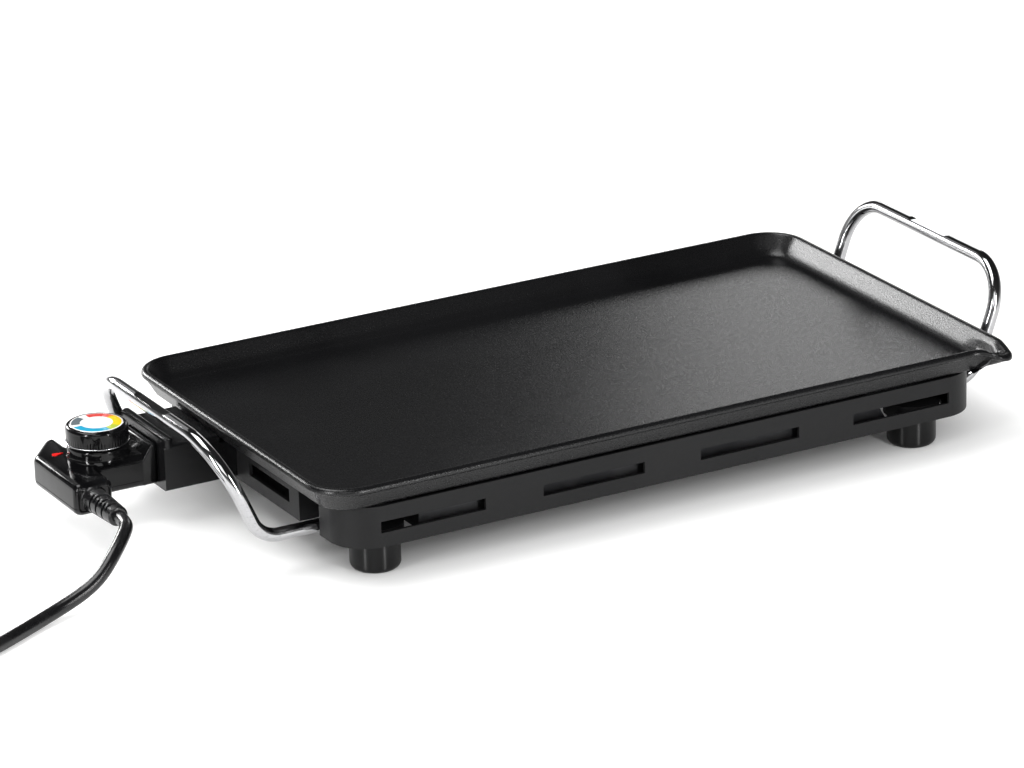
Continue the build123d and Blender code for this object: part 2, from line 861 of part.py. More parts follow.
def receptacle_housing():
    front = receptacle_front_x
    step = receptacle_step_x()
    high = receptacle_box(front, step, receptacle_top)
    high = fillet(high.edges().filter_by(Axis.X), receptacle_edge_radius)
    low = receptacle_box(step, -base_length / 2, plate_bottom - seat_gap)
    low = fillet(low.edges().filter_by(Axis.X).group_by(Axis.Z)[0], receptacle_edge_radius)
    lip = receptacle_box(front, front + receptacle_lip_length, receptacle_top + receptacle_lip_height)
    lip = fillet(lip.edges().filter_by(Axis.X), receptacle_edge_radius)
    lip = fillet(lip.edges().filter_by(Axis.Y).group_by(Axis.Z)[-1], 2 * receptacle_edge_radius)
    body = high + low + lip
    half = nose_width / 2 + plug_fit
    rise = nose_height / 2 + plug_fit
    body -= box_between(front, receptacle_partition_x, control_y - half, control_y + half,
                        nose_middle - rise, nose_middle + rise)
    y0, y1, z0, z1 = receptacle_cell()
    body -= box_between(receptacle_partition_x + receptacle_partition, 0, y0, y1, z0, z1)
    back = receptacle_partition_x + receptacle_partition + 1
    ahead = receptacle_partition_x - 1
    for sign in (-1, 1):
        body -= rod_x(ahead, back, control_y + sign * pin_spacing / 2, pin_height, bead_diameter)
    body -= rod_x(ahead, back, control_y, pin_height - earth_pin_drop, earth_pin_diameter)
    body -= rod_x(ahead, back, control_y, probe_height, guide_outer_diameter)
    for y, z in receptacle_screw_places():
        depth = receptacle_screw_length - base_wall
        body -= rod_x(-base_length / 2 - depth, 0, y, z, receptacle_screw_diameter)
    return body


def receptacle_screws():
    """Screws from inside the base into the receptacle."""
    screws = None
    x1 = -base_length / 2 + base_wall
    for y, z in receptacle_screw_places():
        screw = rod_x(x1 - receptacle_screw_length, x1, y, z, receptacle_screw_diameter)
        screw += rod_x(x1, x1 + receptacle_screw_diameter / 2, y, z, receptacle_screw_head)
        screws = screw if screws is None else screws + screw
    return screws


def probe_guide_tube():
    """A thin tube from the partition to its saddle under the plate, for the probe."""
    tube = rod_x(guide_start_x, guide_end_x, control_y, probe_height, guide_outer_diameter)
    bore = probe_diameter + 2 * plug_fit
    return tube - rod_x(guide_start_x - 1, guide_end_x + 1, control_y, probe_height, bore)


# Thermostat housing

def housing_plan(inset):
    """The plan of the block and its arm."""
    half = arm_width / 2 - inset
    x0 = housing_end_x + inset
    x1 = block_inner_x - inset
    y0 = block_near_y + inset
    y1 = block_far_y - inset
    lean = inset * tan(radians(45) / 2)
    points = [
        (x0, y0), (x1, y0), (x1, control_y - half), (arm_end_x - inset, control_y - half),
        (arm_end_x - inset, control_y + half), (x1, control_y + half), (x1, y1),
        (housing_end_x + block_chamfer_x + lean, y1), (x0, block_far_y - block_chamfer_y - lean),
    ]
    return make_face(Polyline(*points, close=True))


def housing_shell_top():
    """The upper shell: block, arm, sloped flange, nose and pedestal."""
    height = housing_top - housing_seam
    body = extrude(Pos(0, 0, housing_seam) * housing_plan(0), height)
    corners = body.edges().filter_by(Axis.Z).group_by(Axis.X)[0]
    body = fillet(corners, housing_corner_radius)
    body = fillet(body.edges().group_by(Axis.Z)[-1], housing_edge_radius)
    body += housing_flange(housing_seam)
    body += nose_box(0, housing_seam)
    body += post(knob_x, control_y, housing_top - housing_edge_radius, housing_top + pedestal_height,
                 pedestal_diameter)
    return body


def housing_flange(z0):
    """The flange that meets the receptacle, and the slope up to it."""
    half = arm_width / 2
    x1 = arm_end_x
    x0 = x1 - flange_length
    top = housing_top + flange_rise
    start = x0 - flange_slope_length
    profile = Polyline((start, z0), (start, housing_top - housing_edge_radius), (x0, top), (x1, top), (x1, z0),
                       close=True)
    face = Plane.XZ.offset(-(control_y + half)) * make_face(profile)
    return extrude(face, 2 * half)


def nose_box(inset, z0=None):
    """The nose that goes into the receptacle, or the part of it above a height."""
    low = nose_middle - nose_height / 2 + inset
    low = low if z0 is None else max(low, z0)
    half = nose_width / 2 - inset
    return box_between(arm_end_x - flange_length, arm_end_x + nose_length - inset,
                       control_y - half, control_y + half, low, nose_middle + nose_height / 2 - inset)


def housing_hollow():
    """The space inside the housing."""
    floor_z = housing_bottom + housing_wall
    space = extrude(Pos(0, 0, floor_z) * housing_plan(housing_wall), housing_top - housing_wall - floor_z)
    space += nose_box(nose_wall)
    inner = pedestal_diameter - 2 * housing_wall
    space += post(knob_x, control_y, floor_z, housing_top + pedestal_height - housing_wall, inner)
    return space


def housing_bosses():
    """The three screw bosses inside the block and the arm, as X and Y."""
    edge = boss_diameter / 2 + housing_wall / 2
    return [
        (block_inner_x - edge, control_y - arm_width / 2 + edge),
        (block_inner_x - 2 * edge, block_far_y - 2 * edge),
        (arm_end_x - flange_length - edge, control_y - arm_width / 2 + edge),
    ]


def nose_holes():
    """The holes in the nose for the pins and the probe."""
    holes = None
    x1 = arm_end_x + nose_length
    for y, z, size in nose_hole_places():
        hole = rod_x(x1 - 2 * nose_wall, x1 + 1, y, z, size)
        holes = hole if holes is None else holes + hole
    return holes


def nose_hole_places():
    pin_hole = pin_diameter + 2 * plug_fit
    return [
        (control_y - pin_spacing / 2, pin_height, pin_hole),
        (control_y + pin_spacing / 2, pin_height, pin_hole),
        (control_y, pin_height - earth_pin_drop, earth_pin_diameter + 2 * plug_fit),
        (control_y, probe_height, probe_diameter),
    ]


def lens_outline():
    """A teardrop: a round end towards the block's end and a point towards the dial."""
    reach = lens_length - lens_radius
    spread = lens_radius / reach
    join_x = lens_radius * spread
    join_y = lens_radius * sqrt(1 - spread ** 2)
    arc = ThreePointArc((join_x, join_y), (-lens_radius, 0), (join_x, -join_y))
    edges = [arc, Line((join_x, -join_y), (reach, 0)), Line((reach, 0), (join_x, join_y))]
    return Pos(lens_x, lens_y) * make_face(edges)


def outlet_panel():
    """The shallow recess round the cord's exit on the near face."""
    half = outlet_panel_width / 2
    low = cord_exit_z - outlet_panel_height / 2
    x0 = max(cord_exit_x - half, housing_end_x + housing_wall / 2)
    x1 = min(cord_exit_x + half, block_inner_x - housing_wall / 2)
    return box_between(x0, x1, block_near_y - 1, block_near_y + outlet_panel_depth,
                       low, low + outlet_panel_height)


def control_housing_top():
    body = housing_shell_top() - housing_hollow()
    for x, y in housing_bosses():
        body += post(x, y, housing_seam, housing_top - housing_wall, boss_diameter)
        body -= post(x, y, housing_seam, housing_bottom + housing_screw_length, housing_screw_diameter)
    body -= nose_holes()
    body -= post(knob_x, control_y, housing_top, knob_bottom, spindle_diameter + 2 * thread_hole_clearance)
    body -= extrude(Pos(0, 0, housing_top - housing_wall) * lens_outline(), 2 * housing_wall)
    body -= outlet_panel()
    return body - relief_neck(0)


def control_housing_bottom():
    """The lower cover with the lower part of the nose."""
    height = housing_seam - housing_bottom
    body = extrude(Pos(0, 0, housing_bottom) * housing_plan(0), height)
    corners = body.edges().filter_by(Axis.Z).group_by(Axis.X)[0]
    body = fillet(corners, housing_corner_radius)
    body = fillet(body.edges().group_by(Axis.Z)[0], housing_edge_radius)
    step_x = arm_end_x - flange_length - flange_slope_length
    body -= box_between(step_x, 0, 0, 2 * control_y, housing_bottom, housing_bottom + flange_step)
    lower_nose = nose_box(0) - box_between(-base_length, 0, 0, 2 * control_y, housing_seam, plate_top)
    body += lower_nose
    body -= housing_hollow()
    for x, y in housing_bosses():
        body += post(x, y, housing_bottom + housing_wall / 2, housing_seam, boss_diameter)
        body -= post(x, y, housing_bottom, housing_seam, housing_screw_diameter + 2 * thread_hole_clearance)
        body -= post(x, y, housing_bottom, housing_bottom + housing_screw_diameter / 2,
                     housing_screw_head + 2 * thread_hole_clearance)
    body -= outlet_panel()
    return body - relief_neck(0)


def control_screws():
    screws = None
    for x, y in housing_bosses():
        head_top = housing_bottom + housing_screw_diameter / 2
        screw = post(x, y, housing_bottom + fit_gap, head_top, housing_screw_head)
        screw += post(x, y, head_top, housing_bottom + housing_screw_length - 1, housing_screw_diameter)
        screws = screw if screws is None else screws + screw
    return screws


# Inside the thermostat

def sensor_probe():
    """The probe that feels the plate's temperature, with a square head in the nose."""
    x1 = probe_start_x + probe_length
    rod = rod_x(probe_start_x, x1, control_y, probe_height, probe_diameter)
    rod = fillet(rod.edges().group_by(Axis.X)[-1], probe_diameter / 3)
    half = probe_head_width / 2
    head = box_between(probe_start_x - probe_head_length, probe_start_x, control_y - half, control_y + half,
                       probe_height - probe_diameter / 2, probe_height + probe_diameter / 2)
    return rod + head


def contact_socket(y, z, outer, bore):
    """A split sleeve inside the nose that grips a pin."""
    x1 = arm_end_x + nose_length - nose_wall
    x0 = x1 - socket_length
    sleeve = rod_x(x0, x1, y, z, outer) - rod_x(pin_tip_x - 2, x1, y, z, bore)
    return sleeve


def line_sockets():
    pair = None
    for sign in (-1, 1):
        y = control_y + sign * pin_spacing / 2
        sleeve = contact_socket(y, pin_height, socket_outer_diameter, pin_diameter + 2 * running_gap)
        pair = sleeve if pair is None else pair + sleeve
    return pair


def earth_socket():
    z = pin_height - earth_pin_drop
    return contact_socket(control_y, z, earth_socket_outer_diameter, earth_pin_diameter + 2 * running_gap)


def switch_base():
    """The ceramic block that carries the contacts."""
    x0 = knob_x - switch_base_length / 2
    half = switch_base_width / 2
    z0 = housing_bottom + housing_wall
    return box_between(x0, x0 + switch_base_length, control_y - half, control_y + half,
                       z0, z0 + switch_base_height)


def contact_strip(level):
    """One leaf of the switch, with its contact."""
    z = housing_bottom + housing_wall + switch_base_height + level * (contact_strip_thickness + 1)
    y = control_y + (level - 0.5) * contact_strip_width
    half = contact_strip_length / 2
    strip = box_between(knob_x - half, knob_x + half, y - contact_strip_width / 2,
                        y + contact_strip_width / 2, z, z + contact_strip_thickness)
    return strip


def contact_rivets():
    """The rivets that hold the two leaves."""
    z = housing_bottom + housing_wall + switch_base_height
    pair = None
    for level in (0, 1):
        y = control_y + (level - 0.5) * contact_strip_width
        x = knob_x + (level - 0.5) * contact_strip_length / 2
        z0 = z + level * (contact_strip_thickness + 1) + contact_strip_thickness
        rivet = post(x, y, z0, z0 + contact_strip_thickness, contact_rivet_diameter)
        pair = rivet if pair is None else pair + rivet
    return pair


# Neon lamp, lens and cord fittings

def indicator_lens():
    low = housing_top - housing_wall
    return extrude(Pos(0, 0, low) * lens_outline(), housing_wall + lens_proud)


def neon_lamp():
    """The lamp behind the lens, lying along X."""
    z = housing_top - housing_wall - lamp_diameter / 2 - seat_gap
    x0 = lens_x - lamp_length / 3
    lamp = rod_x(x0, x0 + lamp_length, lens_y, z, lamp_diameter)
    return fillet(lamp.edges().group_by(Axis.X)[0], lamp_diameter / 3)


def relief_neck(grow):
    """The strain relief's neck through the housing wall."""
    return rod_y(cord_exit_x, block_near_y, block_near_y + housing_wall, cord_exit_z,
                 relief_neck_diameter + grow)


def cord_strain_relief():
    """A tapered relief in one with its neck and collar, cut by slots into rings."""
    root_y = block_near_y + outlet_panel_depth
    tip_y = cord_route[0][1]
    profile = Polyline((0, tip_y), (relief_tip_diameter / 2, tip_y), (relief_root_diameter / 2, root_y),
                       (0, root_y), close=True)
    cone = revolve(make_face(profile), Axis.Y)
    body = Pos(cord_exit_x, 0, cord_exit_z) * cone
    body += rod_y(cord_exit_x, root_y, block_near_y + housing_wall, cord_exit_z, relief_neck_diameter)
    collar_y = block_near_y + housing_wall
    body += rod_y(cord_exit_x, collar_y, collar_y + relief_collar_thickness, cord_exit_z,
                  relief_collar_diameter)
    for i in range(2 * relief_slot_count):
        y = tip_y + relief_slot_pitch * (1 + i / 2)
        body -= relief_slot(y, i % 2)
    return body


def relief_slot(y, turned):
    """Two opposite slots that leave a web on each side."""
    outer = relief_collar_diameter
    core = cord_diameter + relief_slot_width / 2
    ring = rod_y(0, y - relief_slot_width / 2, y + relief_slot_width / 2, 0, outer)
    ring -= rod_y(0, y - relief_slot_width, y + relief_slot_width, 0, core)
    half = relief_web / 2
    ring -= box_between(-outer, outer, y - relief_slot_width, y + relief_slot_width, -half, half)
    turn = 90 * turned
    return Pos(cord_exit_x, y, cord_exit_z) * Rot(0, turn, 0) * Pos(0, -y, 0) * ring


def cord_inner_end():
    """The cord's end inside the housing."""
    y0 = block_near_y + housing_wall + relief_collar_thickness
    return rod_y(cord_exit_x, y0, y0 + cord_clamp_width + 2 * cord_end_margin, cord_exit_z, cord_diameter)


def cord_clamp():
    """A bar over the cord's end on two posts from the lower cover."""
    y0 = block_near_y + housing_wall + relief_collar_thickness + cord_end_margin
    y1 = y0 + cord_clamp_width
    half = cord_clamp_length / 2
    x0 = housing_end_x + housing_wall + fit_gap
    x1 = min(cord_exit_x + half, block_inner_x - housing_wall - fit_gap)
    low = housing_bottom + housing_wall
    bar = box_between(x0, x1, y0, y1, low, cord_exit_z + cord_diameter / 2 + cord_clamp_height / 2)
    return bar - rod_y(cord_exit_x, y0 - 1, y1 + 1, cord_exit_z, cord_diameter)


def inner_leads():
    """Two insulated leads from the cord's end to the switch block."""
    y0 = block_near_y + housing_wall + relief_collar_thickness + cord_clamp_width + 2 * cord_end_margin
    pair = None
    for sign in (-1, 1):
        x = cord_exit_x + sign * lead_spacing / 2
        y1 = control_y - sign * lead_spacing
        end_x = knob_x - switch_base_length / 2 - lead_diameter / 2
        points = [(x, y0, cord_exit_z), (x, y1, cord_exit_z), (end_x, y1, switch_lead_z())]
        lead, _ = bent_tube(points, [lead_bend], lead_diameter)
        pair = lead if pair is None else pair + lead
    return pair


def switch_lead_z():
    return housing_bottom + housing_wall + switch_base_height / 2


# Dial knob

def knob_shell():
    """The hollow cap with ribs round its side and a hub for the spindle."""
    top = knob_top - dial_thickness
    body = post(knob_x, control_y, knob_bottom, top, knob_diameter)
    inner = knob_diameter - 2 * knob_wall
    body -= post(knob_x, control_y, knob_bottom, top - knob_wall, inner)
    body += post(knob_x, control_y, knob_bottom, top - knob_wall, hub_diameter)
    band_z = knob_top - band_drop
    body -= ring(band_z - band_height, band_z, knob_diameter + 2, knob_diameter - 2 * band_sink)
    ribs = None
    for i in range(knob_rib_count):
        angle = 2 * pi * i / knob_rib_count
        radius = knob_diameter / 2 + knob_rib_radius / 2
        x = knob_x + radius * cos(angle)
        y = control_y + radius * sin(angle)
        groove = post(x, y, band_z + band_height, band_z + band_height + knob_rib_height, 2 * knob_rib_radius)
        ribs = groove if ribs is None else ribs + groove
    body -= ribs
    return body - post(knob_x, control_y, knob_bottom, top - knob_wall, spindle_diameter)


def ring(z0, z1, outer, inner):
    shape = post(knob_x, control_y, z0, z1, outer)
    return shape - post(knob_x, control_y, z0 - 1, z1 + 1, inner)


def knob_band():
    """The bright band near the foot of the cap."""
    band_z = knob_top - band_drop
    return ring(band_z - band_height, band_z, knob_diameter + 2 * band_proud, knob_diameter - 2 * band_sink)


def knob_dial():
    """The disc with the coloured scale."""
    return post(knob_x, control_y, knob_top - dial_thickness, knob_top, dial_diameter)


def knob_rim():
    """The bright rim round the scale."""
    return ring(knob_top - dial_thickness, knob_top, knob_diameter, dial_diameter)


def knob_spindle():
    """The spindle from the switch to the cap, with a flat on one side."""
    top = knob_top - dial_thickness - knob_wall
    low = top - spindle_length
    body = post(knob_x, control_y, low, top, spindle_diameter)
    x0 = knob_x + spindle_diameter / 2 - spindle_flat
    return body - box_between(x0, x0 + spindle_diameter, control_y - spindle_diameter,
                              control_y + spindle_diameter, knob_bottom, top)


def spindle_clip():
    """The clip that keeps the spindle in the pedestal."""
    top = housing_top + pedestal_height - housing_wall - slide_gap
    return ring(top - spindle_clip_thickness, top, spindle_clip_diameter, spindle_diameter)


# Cord, coil and plug

def route_radii(points):
    """The largest arc that each corner of a route has room for."""
    radii = []
    for a, b, c in zip(points, points[1:], points[2:]):
        before = Vector(*b) - Vector(*a)
        after = Vector(*c) - Vector(*b)
        half_turn = radians(before.get_angle(after) / 2)
        radii.append(0.45 * min(before.length, after.length) / tan(half_turn))
    return radii


def power_cord():
    radii = route_radii(cord_route)
    tube, path = bent_tube(cord_route, radii, cord_diameter)
    print("cord radii", [round(r, 1) for r in radii])
    section = pi * cord_diameter ** 2 / 4
    print("cord length", round(path.length, 1), "volume ratio", round(tube.volume / (section * path.length), 4))
    return tube


def coil_stations():
    """Points and directions a quarter turn apart, in two layers, and the centre.

    The radius shrinks steadily on the way in and grows on the way out. The cord climbs a
    layer in the half turn between them.
    """
    end = Vector(*cord_route[-1])
    heading = (end - Vector(*cord_route[-2])).normalized()
    start = end + heading * cord_diameter
    right = Vector(heading.Y, -heading.X, 0)
    centre = start + right * coil_outer_radius
    first = atan2(start.Y - centre.Y, start.X - centre.X)
    stations = []
    for k in range(coil_quarters() + 1):
        angle = first - k * pi / 2
        x = centre.X + coil_radius(k) * cos(angle)
        y = centre.Y + coil_radius(k) * sin(angle)
        stations.append(Vector(x, y, coil_height(k)))
    return end, start, heading, stations, centre


def coil_radius(k):
    """The radius after k quarter turns: steadily in, then steadily out."""
    return coil_outer_radius - min(k, coil_quarters() - k) * coil_pitch / 4


def coil_quarters():
    """How many quarter turns the coil has, with the half turn between its layers."""
    return 2 * 4 * coil_layer_turn_count + 2


def coil_height(k):
    """The height after k quarter turns: onto the tie, up a layer, and up to the plug."""
    low = cord_diameter / 2 + coil_lift
    middle = coil_quarters() / 2
    if k == 0:
        return cord_diameter / 2
    if k == coil_quarters():
        return plug_diameter / 2
    climbed = min(max((k - middle + 1) / 2, 0), 1)
    return low + climbed * coil_layer_pitch


def biarc(p0, t0, p1, t1):
    """Two arcs of equal reach that leave p0 along t0 and arrive at p1 along t1."""
    v = p1 - p0
    t = t0 + t1
    a = 2 * (1 - t0.dot(t1))
    b = v.dot(t)
    d = v.dot(v) / (2 * b) if a < 1e-9 else (-b + sqrt(b * b + a * v.dot(v))) / a
    middle = (p0 + p1 + (t0 - t1) * d) * 0.5
    joint = (p1 - p0 - t * d).normalized()
    return [Edge.make_tangent_arc(p0, t0, middle), Edge.make_tangent_arc(middle, joint, p1)]


def coil_path():
    end, start, heading, stations, centre = coil_stations()
    tangents = [heading]
    for before, at, after in zip(stations, stations[1:], stations[2:]):
        along = after - before
        if min(abs(at.Z - before.Z), abs(after.Z - at.Z)) < 0.001:
            along = Vector(along.X, along.Y, 0)
        tangents.append(along.normalized())
    last_out = stations[-1] - centre
    tangents.append(Vector(last_out.Y, -last_out.X, 0).normalized())
    edges = [Edge.make_line(end, start)]
    for k in range(len(stations) - 1):
        edges += biarc(stations[k], tangents[k], stations[k + 1], tangents[k + 1])
    tail_end = stations[-1] + tangents[-1] * coil_tail_length
    edges.append(Edge.make_line(stations[-1], tail_end))
    return edges, tangents[-1], tail_end, centre


def least_gap(edges):
    """The least gap between turns of the coil, measured on points."""
    points = []
    travelled = 0.0
    for edge in edges:
        steps = max(4, int(edge.length / 1.5))
        for i in range(steps):
            at = i / steps
            points.append((travelled + edge.length * at, edge.position_at(at)))
        travelled += edge.length
    least = None
    apart = 3 * cord_diameter
    for i, (s0, p) in enumerate(points):
        for s1, q in points[i + 1:]:
            if s1 - s0 < apart:
                continue
            if abs(p.X - q.X) > apart or abs(p.Y - q.Y) > apart:
                continue
            gap = (p - q).length - cord_diameter
            least = gap if least is None else min(least, gap)
    return least


def cord_coil():
    edges, _, _, _ = coil_path()
    path = Wire(edges)
    start = Plane(origin=edges[0].position_at(0), z_dir=edges[0].tangent_at(0))
    tube = sweep(start * Circle(cord_diameter / 2), path=path)
    section = pi * cord_diameter ** 2 / 4
    print("coil length", round(path.length, 1), "volume ratio", round(tube.volume / (section * path.length), 4))
    print("coil least gap", round(least_gap(edges), 2))
    return tube


def cord_tie():
    """A band round the coil's turns, at one of the coil's quarter points."""
    _, _, _, stations, centre = coil_stations()
    at = stations[tie_quarter_count]
    angle = degrees(atan2(at.Y - centre.Y, at.X - centre.X))
    inner = coil_radius(tie_quarter_count + 4 * (coil_layer_turn_count - 1)) - cord_diameter / 2 - tie_gap
    outer = coil_radius(tie_quarter_count) + cord_diameter / 2 + tie_gap
    top = coil_lift + cord_diameter + coil_layer_pitch + tie_gap
    hole = box_between(inner, outer, -tie_width, tie_width, tie_thickness, top)
    band = box_between(inner - tie_thickness, outer + tie_thickness, -tie_width / 2, tie_width / 2,
                       0, top + tie_thickness)
    return Pos(centre.X, centre.Y, 0) * Rot(0, 0, angle) * (band - hole)


def plug_frame():
    """The plane of the plug's cord entry, with its Z axis towards the pins."""
    _, heading, tail_end, _ = coil_path()
    return Plane(origin=tail_end, x_dir=Vector(-heading.Y, heading.X, 0), z_dir=heading)


def plug_body():
    """A turned plug body lying on its side, with a neck for the cord."""
    r = plug_diameter / 2
    grip = plug_grip_diameter / 2
    neck = plug_neck_diameter / 2
    a = plug_neck_length
    b = a + plug_grip_length
    c = b + plug_face_thickness
    outline = [
        Line((0, 0), (cord_diameter / 2 + 1, 0)),
        Line((cord_diameter / 2 + 1, 0), (neck, a)),
        Line((neck, a), (grip, a + grip - neck)),
        Line((grip, a + grip - neck), (grip, b - (r - grip))),
        Line((grip, b - (r - grip)), (r, b)),
        Line((r, b), (r, c)),
        Line((r, c), (0, c)),
        Line((0, c), (0, 0)),
    ]
    body = revolve(Plane.XZ * make_face(outline), Axis.Z)
    body = fillet(body.edges().group_by(Axis.Z)[-1], plug_edge_radius)
    for sign in (-1, 1):
        x = sign * plug_pin_spacing / 2
        body -= post(x, 0, c - plug_pin_root, c, plug_pin_root_diameter)
        body -= earth_strip_shape(sign, r + 1)
    return plug_frame().location * body


def earth_strip_shape(sign, outer):
    """One earth strip, or with some height its groove, along the side of the plug."""
    c = plug_neck_length + plug_grip_length + plug_face_thickness
    floor = plug_diameter / 2 - 2 * earth_strip_thickness
    half = earth_strip_width / 2
    return box_between(-half, half, sign * floor, sign * outer, c - earth_strip_length, c)


def plug_earth_strips():
    outer = plug_diameter / 2 - earth_strip_thickness
    return plug_frame().location * (earth_strip_shape(-1, outer) + earth_strip_shape(1, outer))


def plug_pins():
    c = plug_neck_length + plug_grip_length + plug_face_thickness
    pair = None
    for sign in (-1, 1):
        x = sign * plug_pin_spacing / 2
        pin = post(x, 0, c, c + plug_pin_length, plug_pin_diameter)
        pin = fillet(pin.edges().group_by(Axis.Z)[-1], plug_pin_diameter / 3)
        pin += post(x, 0, c - plug_pin_root, c, plug_pin_root_diameter)
        pair = pin if pair is None else pair + pin
    return plug_frame().location * pair


def all_pieces():
    """Every piece by its name, and the names of those on the cord."""
    pieces = {
        "griddle_plate": griddle_plate(),
        "base_frame": base_frame(),
        "heat_reflector": heat_reflector(),
        "reflector_screws": reflector_screws(),
        "heating_element": heating_element(),
        "element_bead_near": insulator_bead(-1),
        "element_bead_far": insulator_bead(1),
        "element_pin_near": element_pin(-1),
        "element_pin_far": element_pin(1),
        "earth_pin": earth_pin(),
        "probe_guide_tube": probe_guide_tube(),
        "receptacle_housing": receptacle_housing(),
        "receptacle_screws": receptacle_screws(),
        "handle_left": handle("left"),
        "handle_right": handle("right"),
        "clamp_screws": clamp_screws(),
        "control_housing_top": control_housing_top(),
        "control_housing_bottom": control_housing_bottom(),
        "control_screws": control_screws(),
        "sensor_probe": sensor_probe(),
        "line_sockets": line_sockets(),
        "earth_socket": earth_socket(),
        "switch_base": switch_base(),
        "contact_leaf_fixed": contact_strip(0),
        "contact_leaf_moving": contact_strip(1),
        "contact_rivets": contact_rivets(),
        "indicator_lens": indicator_lens(),
        "neon_lamp": neon_lamp(),
        "cord_clamp": cord_clamp(),
        "cord_inner_end": cord_inner_end(),
        "inner_leads": inner_leads(),
        "knob_shell": knob_shell(),
        "knob_band": knob_band(),
        "knob_dial": knob_dial(),
        "knob_rim": knob_rim(),
        "knob_spindle": knob_spindle(),
        "spindle_clip": spindle_clip(),
        "cord_strain_relief": cord_strain_relief(),
        "power_cord": power_cord(),
        "cord_coil": cord_coil(),
        "cord_tie": cord_tie(),
        "plug_body": plug_body(),
        "plug_pins": plug_pins(),
        "plug_earth_strips": plug_earth_strips(),
    }
    for name, (x, y) in foot_places().items():
        pieces[f"foot_{name}"] = foot(x, y)
        pieces[f"foot_screw_{name}"] = foot_screw(x, y)
    for i, (x, y) in enumerate(fixing_places()):
        pieces[f"plate_screw_{i + 1}"] = fixing_screw(x, y)
    for name, place in clamp_places().items():
        pieces[f"handle_clamp_{name}"] = handle_clamp(*place)
    return pieces


on_the_cord = ["power_cord", "cord_coil", "cord_tie", "plug_body", "plug_pins", "plug_earth_strips"]


def middle_of(pieces):
    """The middle of the outline of all pieces that aren't on the cord."""
    boxes = [shape.bounding_box() for name, shape in pieces.items() if name not in on_the_cord]
    x = (min(b.min.X for b in boxes) + max(b.max.X for b in boxes)) / 2
    y = (min(b.min.Y for b in boxes) + max(b.max.Y for b in boxes)) / 2
    return x, y


def save_all():
    """Writes each piece with the middle of the outline at X 0, Y 0 and the floor at Z 0."""
    os.makedirs("parts", exist_ok=True)
    pieces = all_pieces()
    x, y = middle_of(pieces)
    print("middle of the outline", round(x, 3), round(y, 3))
    for name, shape in pieces.items():
        export_step(Pos(-x, -y, 0) * shape, f"parts/{name}.step")


save_all()
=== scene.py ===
# %% [markdown]
# An electric table griddle: a shallow cast plate on a slotted base, two bent
# rods as handles, and a plug-in thermostat with a dial and a cord. The solid
# parts come in as a fixed frame, and every surface here is fitted to it.

# %% Load the frame
import json
import bpy
import bmesh
import numpy as np
from math import cos, sin, pi, radians, tan
from mathutils import Matrix, Vector


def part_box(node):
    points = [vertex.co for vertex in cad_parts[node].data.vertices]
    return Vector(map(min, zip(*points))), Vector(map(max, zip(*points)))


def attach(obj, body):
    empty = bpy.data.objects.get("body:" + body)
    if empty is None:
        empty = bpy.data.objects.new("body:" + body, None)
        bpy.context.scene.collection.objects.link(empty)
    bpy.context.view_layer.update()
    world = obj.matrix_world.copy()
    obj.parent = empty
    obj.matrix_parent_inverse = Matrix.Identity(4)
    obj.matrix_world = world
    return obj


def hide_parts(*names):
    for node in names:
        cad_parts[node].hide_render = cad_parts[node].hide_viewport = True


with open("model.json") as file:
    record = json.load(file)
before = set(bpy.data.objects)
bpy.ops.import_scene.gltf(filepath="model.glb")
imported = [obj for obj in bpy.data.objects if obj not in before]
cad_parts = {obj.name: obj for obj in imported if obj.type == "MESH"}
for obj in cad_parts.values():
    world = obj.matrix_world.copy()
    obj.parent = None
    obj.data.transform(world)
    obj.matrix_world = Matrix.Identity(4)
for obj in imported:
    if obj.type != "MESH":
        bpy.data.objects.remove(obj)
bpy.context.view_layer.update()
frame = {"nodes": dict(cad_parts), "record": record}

scene = bpy.context.scene
plate_centre = np.array([0.0307, 0.005127, 0.0])

# %% [markdown]
# The picture was taken from the left and a little above with a long lens, so
# parallel edges hardly converge. The camera stands where the rim, the base
# and the four corners of the plate fit the photograph.

# %% Camera
yaw, pitch, roll = radians(28.648), radians(20.401), radians(-1.521)
distance, focal_pixels, picture_pixels, sensor_mm = 3.1864, 5365.2, 1024, 36.0
ahead = Vector((sin(yaw) * cos(pitch), cos(yaw) * cos(pitch), -sin(pitch)))
level = Vector((cos(yaw), -sin(yaw), 0.0))
above = level.cross(ahead)
across = level * cos(roll) + above * sin(roll)
upward = above * cos(roll) - level * sin(roll)
target = Vector((-0.0391, 0.0, 0.049)) + Vector(plate_centre)
lens_data = bpy.data.cameras.new("photo_camera")
lens_data.sensor_width = sensor_mm
lens_data.lens = sensor_mm * focal_pixels / picture_pixels
lens_data.clip_end = 50.0
camera = bpy.data.objects.new("photo_camera", lens_data)
turn = Matrix((across, upward, -ahead)).transposed().to_4x4()
camera.matrix_world = Matrix.Translation(target - ahead * distance) @ turn
scene.collection.objects.link(camera)
scene.camera = camera
print("camera at", [round(c, 3) for c in camera.matrix_world.translation])

# %% [markdown]
# The cord is one soft line, so it is one spline. It leaves the relief level,
# falls over its own weight to the table, and its spare length lies in a neat
# round coil beside the griddle. The coil's turns are more points of the same
# spline, sixteen to a turn, in two layers that lie on each other.

# %% Cord's points
cord_radius, coil_radius, plug_height = 0.004, 0.0525, 0.019
route = np.array([
    (-0.3110, -0.0280, 0.0325), (-0.3110, -0.0390, 0.0325), (-0.3185, -0.0513, 0.0319),
    (-0.3320, -0.0646, 0.0258), (-0.3430, -0.0700, 0.0169), (-0.3566, -0.0725, 0.0100),
    (-0.3790, -0.0765, 0.0040), (-0.4110, -0.0952, 0.0040), (-0.4460, -0.1135, 0.0040),
    (-0.4700, -0.1280, 0.0040),
]) + plate_centre


